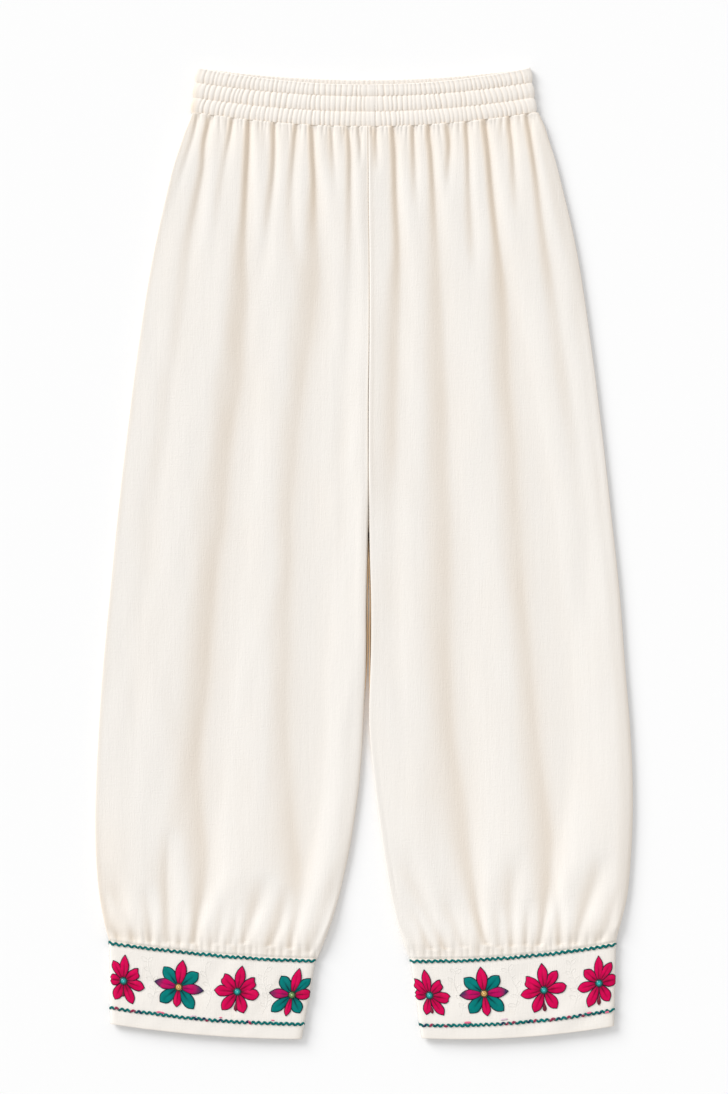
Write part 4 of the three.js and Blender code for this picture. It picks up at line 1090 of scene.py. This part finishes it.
def sprays(side, face):
    """Tone-on-tone sprays of small leaves between the flowers."""
    cf = FACES[(side, face)]
    rng = np.random.default_rng(700 + hash_name(side, face))
    pile = Pile()
    spots = [f[0] for f in FLOWERS[(side, face)]]
    mids = [(spots[i] + spots[i + 1]) / 2 for i in range(len(spots) - 1)]
    for s in mids:
        a0 = float(cf.a_of(s)) + rng.uniform(-1.5, 1.5)
        lean = rng.uniform(-0.35, 0.35)
        stem = []
        for k in range(7):
            y = -26 + 52 * k / 6
            stem.append((a0 + 3.2 * math.sin(k * 1.15 + lean * 4) + lean * y * 0.25, BEAD_T - 0.06 - y / cf.depth))
        pile.add(*stitch_run(cf, stem, 0.42, 0.15, 0.0))
        for k in range(1, 6):
            for sd in (-1, 1):
                if rng.uniform() < 0.18:
                    continue
                a, t = stem[k]
                ang = sd * rng.uniform(0.6, 1.15) + lean
                L = rng.uniform(5.5, 9.0)
                pts = leaf_line(cf, a, t, ang, L, L * 0.42)
                pts[:, 1] = np.clip(pts[:, 1], 0.06, 0.78)
                pile.add(*stitch_run(cf, pts[::2], 0.36, 0.13, 0.0, 5))
    return pile


DASHES = {  # small separate stitches by the lower braid: middle X, Y as in the fold tables, length, rise to the right, shade
    "left": [(161.0, 1011.6, 8.6, -0.5, "pink"), (193.5, 1015.2, 6.0, 0.3, "faint"), (221, 1016.6, 3.2, 0.2, "pink"), (249, 1020.4, 3.4, 0.2, "pink"), (273, 1019.4, 3.6, -0.2, "pink")],
    "right": [(467.5, 1021.6, 7.0, 0.2, "pink"), (504, 1018.4, 7.5, 0.5, "faint"), (588.5, 1012.0, 5.2, 0.4, "pink"), (607, 1011.0, 6.0, 0.4, "pink")],
}


def dashes(side, face, shade):
    cf = FACES[(side, face)]
    pile = Pile()
    for x, y, ln, rise, kind in DASHES[side]:
        if kind != shade:
            continue
        s, t = locate(side, px(x), py(y))
        a = float(cf.a_of(s))
        over = 0.75 if abs(t - 0.827 + 1.6 / cf.depth) * cf.depth < 2.2 else 0.2
        pile.add(*stitch_run(cf, [(a - ln / 2, t + rise / 2 / cf.depth), (a, t), (a + ln / 2, t - rise / 2 / cf.depth)], 1.0 if ln > 5 else 0.62, 0.34, over))
    return pile


def stems(side, face):
    """The small dark bud between the two lower petals of the plain flowers."""
    cf = FACES[(side, face)]
    pile = Pile()
    for j, (_, _, _, bud) in enumerate(FLOWERS[(side, face)]):
        if bud is None:
            continue
        r0, r1, wd, dx = bud
        a, t = flower_at(side, face, j)
        k = np.linspace(0, 1, 25)
        r = mix(5.0, r1, k)
        w = 0.3 + (wd / 2 - 0.3) * smooth(r0 - 3.5, mix(r0, r1, 0.55), r) * (1 - smooth(mix(r0, r1, 0.7), r1 + 0.6, r))
        P, N = cf.point(a + dx * k, t + r / cf.depth, lift=0.3)
        pile.add(*tube(P, N, w, np.minimum(w, 0.6), 8))
    return pile


def bead(side, face, k):
    """A small domed bead: a dark rim, a shoulder and a polished dome; the gold ones have a second ring."""
    cf = FACES[(side, face)]
    colour = FLOWERS[(side, face)][k][1]
    a, t = flower_at(side, face, k)
    P, N = cf.point(np.array([a]), np.array([t]), lift=0.0)
    p, n = P[0], N[0]
    ex = np.array([n[2], 0, -n[0]]) * (1 if cf.up > 0 else -1)
    ey = np.cross(n, ex)
    if colour == "teal":
        prof = [(0, 2.5), (0.6, 2.47), (1.2, 2.36), (1.8, 2.14), (2.3, 1.84), (2.7, 1.5), (2.95, 1.2), (3.1, 1.16), (3.3, 1.34), (3.55, 1.4), (3.8, 1.22), (3.97, 0.8), (4.0, 0.35), (3.7, -0.1), (0, -0.1)]
    else:
        prof = [(0, 2.3), (0.5, 2.25), (0.9, 2.08), (1.15, 1.78), (1.32, 1.7), (1.6, 1.86), (2.0, 1.9), (2.4, 1.74), (2.75, 1.42), (2.98, 1.16), (3.12, 1.14), (3.3, 1.32), (3.55, 1.4), (3.8, 1.22), (3.97, 0.8), (4.0, 0.35), (3.7, -0.1), (0, -0.1)]
    if face == "back":
        prof = [(r, z * 0.7) for r, z in prof]
    m = 36
    th = np.arange(m) * 2 * math.pi / m
    rings = prof[1:-1]
    V = [p + n * prof[0][1]]
    for r, z in rings:
        for w in th:
            V.append(p + (ex * math.cos(w) + ey * math.sin(w)) * r + n * z)
    V.append(p + n * prof[-1][1])
    V = np.array(V)
    if face == "back":
        V[:, 2] = np.maximum(V[:, 2], 0.0)
    nr = len(rings)
    Q, T = [], []
    for j in range(m):
        j2 = (j + 1) % m
        T.append((0, 1 + j, 1 + j2))
        T.append((len(V) - 1, 1 + (nr - 1) * m + j2, 1 + (nr - 1) * m + j))
        for r in range(nr - 1):
            Q.append((1 + r * m + j, 1 + (r + 1) * m + j, 1 + (r + 1) * m + j2, 1 + r * m + j2))
    rad = np.concatenate([[0], np.repeat([r for r, _ in rings], m), [0]])
    uv = np.stack([rad / BEAD_R, np.zeros(len(V))], 1)
    pile = Pile()
    pile.add(V, np.array(Q), np.array(T), uv)
    return pile.build(f"bead_{face}_{side}_{k + 1}_v"), colour


# =====================================================================================
# Materials
# =====================================================================================
def nodes_of(name):
    m = bpy.data.materials.new(name)
    m.use_nodes = True
    nt = m.node_tree
    nt.nodes.clear()
    out = nt.nodes.new("ShaderNodeOutputMaterial")
    bsdf = nt.nodes.new("ShaderNodeBsdfPrincipled")
    nt.links.new(bsdf.outputs[0], out.inputs[0])
    return m, nt, bsdf


def add(nt, kind, **kw):
    n = nt.nodes.new(kind)
    for k, v in kw.items():
        setattr(n, k, v)
    return n


def link(nt, a, b):
    nt.links.new(a, b)


def coords(nt, scale):
    tc = add(nt, "ShaderNodeTexCoord")
    mp = add(nt, "ShaderNodeMapping")
    mp.inputs["Scale"].default_value = scale
    link(nt, tc.outputs["Object"], mp.inputs["Vector"])
    return mp.outputs["Vector"]


def noise(nt, vec, scale, detail=2.0, rough=0.5):
    n = add(nt, "ShaderNodeTexNoise")
    n.inputs["Scale"].default_value = scale
    n.inputs["Detail"].default_value = detail
    n.inputs["Roughness"].default_value = rough
    link(nt, vec, n.inputs["Vector"])
    return n.outputs["Fac"]


def ramp(nt, fac, stops):
    r = add(nt, "ShaderNodeValToRGB")
    el = r.color_ramp.elements
    while len(el) < len(stops):
        el.new(0.5)
    for e, (pos, col) in zip(el, stops):
        e.position = pos
        e.color = (*col, 1.0)
    link(nt, fac, r.inputs["Fac"])
    return r.outputs["Color"]


def math_node(nt, op, a, b=None, clamp=False):
    n = add(nt, "ShaderNodeMath", operation=op, use_clamp=clamp)
    for k, val in enumerate((a, b)):
        if val is None:
            continue
        if isinstance(val, (int, float)):
            n.inputs[k].default_value = val
        else:
            link(nt, val, n.inputs[k])
    return n.outputs[0]


def mix_color(nt, fac, a, b, blend="MIX"):
    n = add(nt, "ShaderNodeMix", data_type="RGBA", blend_type=blend)
    if isinstance(fac, (int, float)):
        n.inputs["Factor"].default_value = fac
    else:
        link(nt, fac, n.inputs["Factor"])
    for sock, val in ((n.inputs[6], a), (n.inputs[7], b)):
        if isinstance(val, tuple):
            sock.default_value = (*val, 1.0)
        else:
            link(nt, val, sock)
    return n.outputs[2]


def bump(nt, height, strength, distance, normal=None):
    b = add(nt, "ShaderNodeBump")
    b.inputs["Strength"].default_value = strength
    b.inputs["Distance"].default_value = distance
    link(nt, height, b.inputs["Height"])
    if normal is not None:
        link(nt, normal, b.inputs["Normal"])
    return b.outputs["Normal"]


def cloth_material(name, base, warm_tone_and_shade, weave=1.0, slub=1.0):
    m, nt, bsdf = nodes_of(name)
    # threads of a plain crepe: fine warp and weft, and long slubs down the leg
    warp = noise(nt, coords(nt, (1.0, 0.09, 1.0)), 900.0, 2.0, 0.55)
    weft = noise(nt, coords(nt, (0.12, 1.0, 1.0)), 800.0, 2.0, 0.5)
    grain = noise(nt, coords(nt, (1, 1, 1)), 650.0, 3.0, 0.6)
    streak = noise(nt, coords(nt, (1.0, 0.045, 1.0)), 260.0, 3.0, 0.55)
    cloud = noise(nt, coords(nt, (1.0, 0.5, 1.0)), 22.0, 3.0, 0.5)
    h = math_node(nt, "ADD", math_node(nt, "MULTIPLY", warp, 0.5), math_node(nt, "MULTIPLY", weft, 0.35))
    h = math_node(nt, "ADD", h, math_node(nt, "MULTIPLY", grain, 0.5))
    h = math_node(nt, "ADD", h, math_node(nt, "MULTIPLY", streak, 0.34 * slub))
    n1 = bump(nt, h, 0.6 * weave, 0.0006)
    link(nt, n1, bsdf.inputs["Normal"])
    # colour: faint streaks and clouds, and painted warm shade where the panels' shade attribute is high
    thread = math_node(nt, "ADD", math_node(nt, "MULTIPLY", streak, 0.5), math_node(nt, "ADD", math_node(nt, "MULTIPLY", grain, 0.3), math_node(nt, "MULTIPLY", warp, 0.2)))
    c1 = ramp(nt, thread, [(0.3, tuple(b * 0.976 for b in base)), (0.7, tuple(min(1.0, b * 1.02) for b in base))])
    c2 = mix_color(nt, math_node(nt, "MULTIPLY", math_node(nt, "SUBTRACT", cloud, 0.42, clamp=True), 0.22), c1, warm_tone_and_shade)
    at = add(nt, "ShaderNodeAttribute")
    at.attribute_name = "painted_shade"
    # painted warm shade from the panels' shade attribute
    c3 = mix_color(nt, math_node(nt, "MULTIPLY", at.outputs["Fac"], 0.68, clamp=True), c2, warm_tone_and_shade)
    # painted deeper shade, darker and warmer still, where that attribute passes 1.28
    deepest_painted_shade = math_node(nt, "MULTIPLY", math_node(nt, "SUBTRACT", at.outputs["Fac"], 1.28), 1.1, clamp=True)
    c4 = mix_color(nt, deepest_painted_shade, c3, (warm_tone_and_shade[0] * 0.98, warm_tone_and_shade[1] * 0.8, warm_tone_and_shade[2] * 0.58))
    link(nt, c4, bsdf.inputs["Base Color"])
    bsdf.inputs["Roughness"].default_value = 0.82
    bsdf.inputs["Specular IOR Level"].default_value = 0.25
    bsdf.inputs["Sheen Weight"].default_value = 0.12
    bsdf.inputs["Sheen Roughness"].default_value = 0.5
    bsdf.inputs["Sheen Tint"].default_value = (1.0, 0.97, 0.92, 1.0)
    return m


def satin_material(name, light, dark, tip=None, tip_from=0.55, rough=0.42):
    """Satin stitch: threads laid slantwise from the middle vein of a petal. UV: length in mm, across 0..1."""
    m, nt, bsdf = nodes_of(name)
    uv = add(nt, "ShaderNodeUVMap")
    uv.uv_map = "along"
    sep = add(nt, "ShaderNodeSeparateXYZ")
    link(nt, uv.outputs["UV"], sep.inputs["Vector"])
    u, v = sep.outputs["X"], sep.outputs["Y"]
    off = math_node(nt, "ABSOLUTE", math_node(nt, "SUBTRACT", v, 0.5))
    slant = math_node(nt, "SUBTRACT", u, math_node(nt, "MULTIPLY", off, 7.0))
    stripes = math_node(nt, "SINE", math_node(nt, "MULTIPLY", slant, 2 * math.pi / 0.62))
    stripes = math_node(nt, "ADD", math_node(nt, "MULTIPLY", stripes, 0.5), 0.5)
    grain = noise(nt, coords(nt, (1, 1, 1)), 700.0, 2.0, 0.6)
    cloud = noise(nt, coords(nt, (1, 1, 1)), 190.0, 2.0, 0.5)
    vein = math_node(nt, "SUBTRACT", 1.0, math_node(nt, "MULTIPLY", off, 8.0), clamp=True)
    # darker towards the root by the bead: painted shade
    root = math_node(nt, "SUBTRACT", 1.0, math_node(nt, "MULTIPLY", u, 0.085), clamp=True)
    shade = math_node(nt, "ADD", math_node(nt, "MULTIPLY", math_node(nt, "MULTIPLY", vein, math_node(nt, "SUBTRACT", 1.7, math_node(nt, "MULTIPLY", u, 0.085), clamp=True)), 0.95), math_node(nt, "MULTIPLY", root, 0.8))
    # a little darker between the slant stitches: painted shade
    shade = math_node(nt, "ADD", shade, math_node(nt, "MULTIPLY", math_node(nt, "SUBTRACT", 1.0, stripes), 0.16))
    shade = math_node(nt, "ADD", shade, math_node(nt, "MULTIPLY", math_node(nt, "SUBTRACT", cloud, 0.45), 0.7), clamp=True)
    # darker towards the rims: painted shade
    rim = math_node(nt, "MULTIPLY", math_node(nt, "SUBTRACT", off, 0.37), 3.4, clamp=True)
    shade = math_node(nt, "ADD", shade, math_node(nt, "MULTIPLY", rim, 0.9), clamp=True)
    col = mix_color(nt, math_node(nt, "MULTIPLY", shade, 0.96), light, dark)
    if tip is not None:
        k = math_node(nt, "MULTIPLY", math_node(nt, "SUBTRACT", u, tip_from * 22.0), 1.0 / (0.4 * 22.0), clamp=True)
        k2 = math_node(nt, "ADD", k, math_node(nt, "MULTIPLY", math_node(nt, "SUBTRACT", cloud, 0.5), 0.9), clamp=True)
        col = mix_color(nt, k2, col, tip)
    link(nt, col, bsdf.inputs["Base Color"])
    h = math_node(nt, "ADD", stripes, math_node(nt, "MULTIPLY", grain, 0.6))
    link(nt, bump(nt, h, 0.5, 0.00022), bsdf.inputs["Normal"])
    bsdf.inputs["Roughness"].default_value = rough
    bsdf.inputs["Specular IOR Level"].default_value = 0.07
    return m


def thread_material(name, light, mid, dark, spot=False, pitch=1.15, rough=0.5, gloss=0.2):
    """Twisted thread: slanting strands round the tube. UV: length in mm, round 0..1."""
    m, nt, bsdf = nodes_of(name)
    uv = add(nt, "ShaderNodeUVMap")
    uv.uv_map = "along"
    sep = add(nt, "ShaderNodeSeparateXYZ")
    link(nt, uv.outputs["UV"], sep.inputs["Vector"])
    ph = math_node(nt, "ADD", math_node(nt, "MULTIPLY", sep.outputs["X"], 2 * math.pi / pitch), math_node(nt, "MULTIPLY", sep.outputs["Y"], 4 * math.pi))
    st = math_node(nt, "ADD", math_node(nt, "MULTIPLY", math_node(nt, "SINE", ph), 0.5), 0.5)
    cloud = noise(nt, coords(nt, (1, 1, 1)), 260.0, 2.0, 0.6)
    # darker between the twisted strands and lighter on their crests: painted shade and painted highlight; the cloud
    # adds random tone
    k = math_node(nt, "ADD", math_node(nt, "MULTIPLY", st, 0.4), math_node(nt, "MULTIPLY", cloud, 0.75), clamp=True)
    col = ramp(nt, k, [(0.25, dark), (0.55, mid), (0.9, light)])
    if spot:
        for key, shade in (("fleck_red", (0.36, 0.012, 0.07)), ("fleck_navy", (0.012, 0.016, 0.075))):
            at = add(nt, "ShaderNodeAttribute")
            at.attribute_name = key
            f = math_node(nt, "MULTIPLY", at.outputs["Fac"], math_node(nt, "ADD", math_node(nt, "MULTIPLY", cloud, 0.5), 0.6), clamp=True)
            col = mix_color(nt, f, col, shade)
    link(nt, col, bsdf.inputs["Base Color"])
    link(nt, bump(nt, st, 0.6, 0.0003), bsdf.inputs["Normal"])
    bsdf.inputs["Roughness"].default_value = rough
    bsdf.inputs["Specular IOR Level"].default_value = gloss
    return m


def bead_material(name, dome, body, rim, ring=None, metallic=0.0, rough=0.22):
    m, nt, bsdf = nodes_of(name)
    uv = add(nt, "ShaderNodeUVMap")
    uv.uv_map = "along"
    sep = add(nt, "ShaderNodeSeparateXYZ")
    link(nt, uv.outputs["UV"], sep.inputs["Vector"])
    # lighter at the middle of the dome: painted highlight; darker where the dome falls to the rim: painted shade; the
    # rim keeps its own dark colour
    stops = [(0.0, dome), (0.1, tuple(mix(x, y, 0.45) for x, y in zip(dome, body))), (0.24, body), (0.54, tuple(c * 0.75 for c in body)), (0.66, tuple(c * 0.3 for c in body)), (0.72, rim), (1.0, tuple(c * 0.7 for c in rim))]
    if ring is not None:
        # ringed beads: lighter in the middle: painted highlight; dark in the groove round the middle: painted shade
        stops = [(0.0, dome), (0.24, tuple(c * 0.8 for c in dome)), (0.33, tuple(c * 0.22 for c in ring)), (0.48, ring), (0.6, tuple(c * 0.75 for c in ring)), (0.69, tuple(c * 0.8 for c in rim)), (0.86, rim), (1.0, tuple(c * 0.6 for c in rim))]
    col = ramp(nt, sep.outputs["X"], stops)
    cloud = noise(nt, coords(nt, (1, 1, 1)), 500.0, 2.0, 0.5)
    col = mix_color(nt, math_node(nt, "MULTIPLY", cloud, 0.3), col, tuple(c * 0.6 for c in body))
    link(nt, col, bsdf.inputs["Base Color"])
    link(nt, bump(nt, cloud, 0.15, 0.0002), bsdf.inputs["Normal"])
    bsdf.inputs["Roughness"].default_value = rough
    bsdf.inputs["Metallic"].default_value = metallic
    bsdf.inputs["Specular IOR Level"].default_value = 0.3
    bsdf.inputs["Coat Weight"].default_value = 0.12
    bsdf.inputs["Coat Roughness"].default_value = 0.08
    return m


# CREAM is the cloth; the second colour is the tone of its random clouds and of its painted shade
CREAM, WARM_TONE_AND_SHADE = (0.834, 0.798, 0.752), (0.834, 0.704, 0.566)
M_LEG = cloth_material("leg_cloth", CREAM, WARM_TONE_AND_SHADE)
M_BAND = cloth_material("band_cloth", (0.862, 0.816, 0.762), (0.835, 0.7, 0.56), 0.8, 0.3)
M_CUFF = cloth_material("cuff_cloth", (0.853, 0.812, 0.76), (0.82, 0.745, 0.66), 1.1, 0.4)
M_MAG = satin_material("petal_magenta", (0.73, 0.0006, 0.092), (0.2, 0.0006, 0.026))
M_PUR = satin_material("petal_purple", (0.6, 0.002, 0.12), (0.2, 0.002, 0.07), tip=(0.05, 0.03, 0.1), tip_from=0.62)
M_TEAL = satin_material("petal_teal", (0.0, 0.215, 0.2), (0.0, 0.042, 0.05))
M_LINE = thread_material("outline_thread", (0.02, 0.035, 0.06), (0.008, 0.014, 0.03), (0.003, 0.006, 0.014), rough=0.8, gloss=0.04)
M_TRIM = thread_material("trim_thread", (0.0, 0.28, 0.265), (0.0, 0.125, 0.122), (0.0, 0.032, 0.038), pitch=1.4, gloss=0.09)
M_TRIM2 = thread_material("trim_thread_flecked", (0.0, 0.28, 0.265), (0.0, 0.125, 0.122), (0.0, 0.032, 0.038), spot=True, pitch=1.4, gloss=0.09)
M_SPRAY = thread_material("spray_thread", (0.95, 0.92, 0.87), (0.92, 0.885, 0.83), (0.87, 0.825, 0.765), rough=0.7)
M_DASH = thread_material("dash_thread", (0.86, 0.24, 0.36), (0.8, 0.16, 0.28), (0.66, 0.08, 0.18), rough=0.6)
M_FAINT = thread_material("faint_thread", (0.8, 0.66, 0.72), (0.74, 0.56, 0.64), (0.6, 0.42, 0.52), rough=0.6)
M_STEM = thread_material("stem_thread", (0.28, 0.02, 0.05), (0.16, 0.012, 0.035), (0.05, 0.008, 0.015))
M_BEAD_T = bead_material("bead_teal", (0.3, 0.76, 0.68), (0.003, 0.38, 0.36), (0.002, 0.02, 0.022))
M_BEAD_G = bead_material("bead_gold", (0.98, 0.66, 0.24), (0.8, 0.45, 0.12), (0.02, 0.012, 0.008), ring=(0.84, 0.48, 0.12), metallic=0.1, rough=0.25)
M_BEAD_V = bead_material("bead_green", (0.5, 0.75, 0.3), (0.14, 0.3, 0.09), (0.006, 0.03, 0.016), ring=(0.16, 0.34, 0.09), metallic=0.1, rough=0.22)


def paint(ob, mat):
    ob.data.materials.clear()
    ob.data.materials.append(mat)


# =====================================================================================
# Building
# =====================================================================================
SIZES = {}
for side in ("left", "right"):
    for face in ("front", "back"):
        ob = leg_panel(side, face)
        paint(ob, M_LEG)
        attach(ob, "root")
        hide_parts(f"leg_{face}_{side}")
    for face in ("front", "back"):
        cuff = cuff_panel(side, face)
        paint(cuff, M_CUFF)
        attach(cuff, "root")
        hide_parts(f"cuff_{face}_{side}")
        for where, t0 in (("upper", 0.034), ("lower", 0.827)):
            tr = wavy_trim(side, face, t0, f"braid_{where}_{face}_{side}")
            paint(tr, M_TRIM if where == "upper" else M_TRIM2)
            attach(tr, "root")
            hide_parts(f"trim_{where}_{face}_{side}")
        piles, cf = flowers(side, face)
        extra = [(piles["magenta"], "petals_magenta", M_MAG), (piles["teal"], "petals_teal", M_TEAL), (piles["purple"], "petals_purple", M_PUR),
                 (piles["outline"], "petal_outlines", M_LINE), (stems(side, face), "flower_buds", M_STEM)]
        if face == "front":
            extra += [(sprays(side, face), "leaf_sprays", M_SPRAY), (dashes(side, face, "pink"), "pink_stitches", M_DASH), (dashes(side, face, "faint"), "faint_stitches", M_FAINT)]
        for pile, nm, mat in extra:
            ob = pile.build(f"{nm}_{face}_{side}")
            if ob is None:
                continue
            paint(ob, mat)
            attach(ob, "root")
        for k in range(len(FLOWERS[(side, face)])):
            bd, colour = bead(side, face, k)
            paint(bd, {"teal": M_BEAD_T, "gold": M_BEAD_G, "green": M_BEAD_V}[colour])
            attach(bd, "root")
            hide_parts(f"bead_{face}_{side}_{k + 1}")

seeds = {f: [shirr_lines(40 + 7 * k + (0 if f == "front" else 50), -176, 178, 4.7) for k in range(3)] for f in ("front", "back")}
bands = [
    band_piece("cloth_band_front_left", "front", None, BAND_SEAM_X - 0.03, True, False, seeds["front"]),
    band_piece("cloth_band_front_right", "front", BAND_SEAM_X + 0.03, None, False, True, seeds["front"]),
    band_piece("cloth_band_back", "back", None, None, True, True, seeds["back"]),
]
for ob, node in zip(bands, ("waistband_front_left", "waistband_front_right", "waistband_back")):
    paint(ob, M_BAND)
    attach(ob, "root")
    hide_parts(node)

# =====================================================================================
# Floor, light and camera
# =====================================================================================
floor = new_object("floor", np.array([[-3500, -3500, -0.05], [3500, -3500, -0.05], [3500, 3500, -0.05], [-3500, 3500, -0.05]], float), np.array([[0, 1, 2, 3]]))
fm, fnt, fb = nodes_of("floor_paper")
fb.inputs["Base Color"].default_value = (0.915, 0.915, 0.915, 1)
fb.inputs["Roughness"].default_value = 0.9
fb.inputs["Specular IOR Level"].default_value = 0.1
paint(floor, fm)

world = bpy.data.worlds.new("studio")
bpy.context.scene.world = world
world.use_nodes = True
bg = world.node_tree.nodes["Background"]
bg.inputs["Color"].default_value = (1.0, 1.0, 1.0, 1)
bg.inputs["Strength"].default_value = 0.72

key = bpy.data.lights.new("key", "SUN")
key.energy = 2.5
key.angle = math.radians(32)
key_ob = bpy.data.objects.new("key", key)
bpy.context.scene.collection.objects.link(key_ob)
el, az = math.radians(26.5), math.radians(137)
dirn = Vector((math.cos(az) * math.cos(el), math.sin(az) * math.cos(el), math.sin(el)))
key_ob.location = dirn * 3
key_ob.rotation_euler = dirn.to_track_quat("Z", "Y").to_euler()

cam = bpy.data.cameras.new("camera")
cam.lens = 18.0 * 4.0 / 0.547
cam.sensor_width = 36.0
cam.clip_end = 50
cam_ob = bpy.data.objects.new("camera", cam)
bpy.context.scene.collection.objects.link(cam_ob)
cam_ob.location = ((-0.5 + SHIFT[0]) * MM, (8.5 + SHIFT[1]) * MM, 4.0)
cam_ob.rotation_euler = (0, 0, 0)
bpy.context.scene.camera = cam_ob
bpy.context.scene.view_settings.view_transform = "Standard"
bpy.context.scene.view_settings.look = "None"
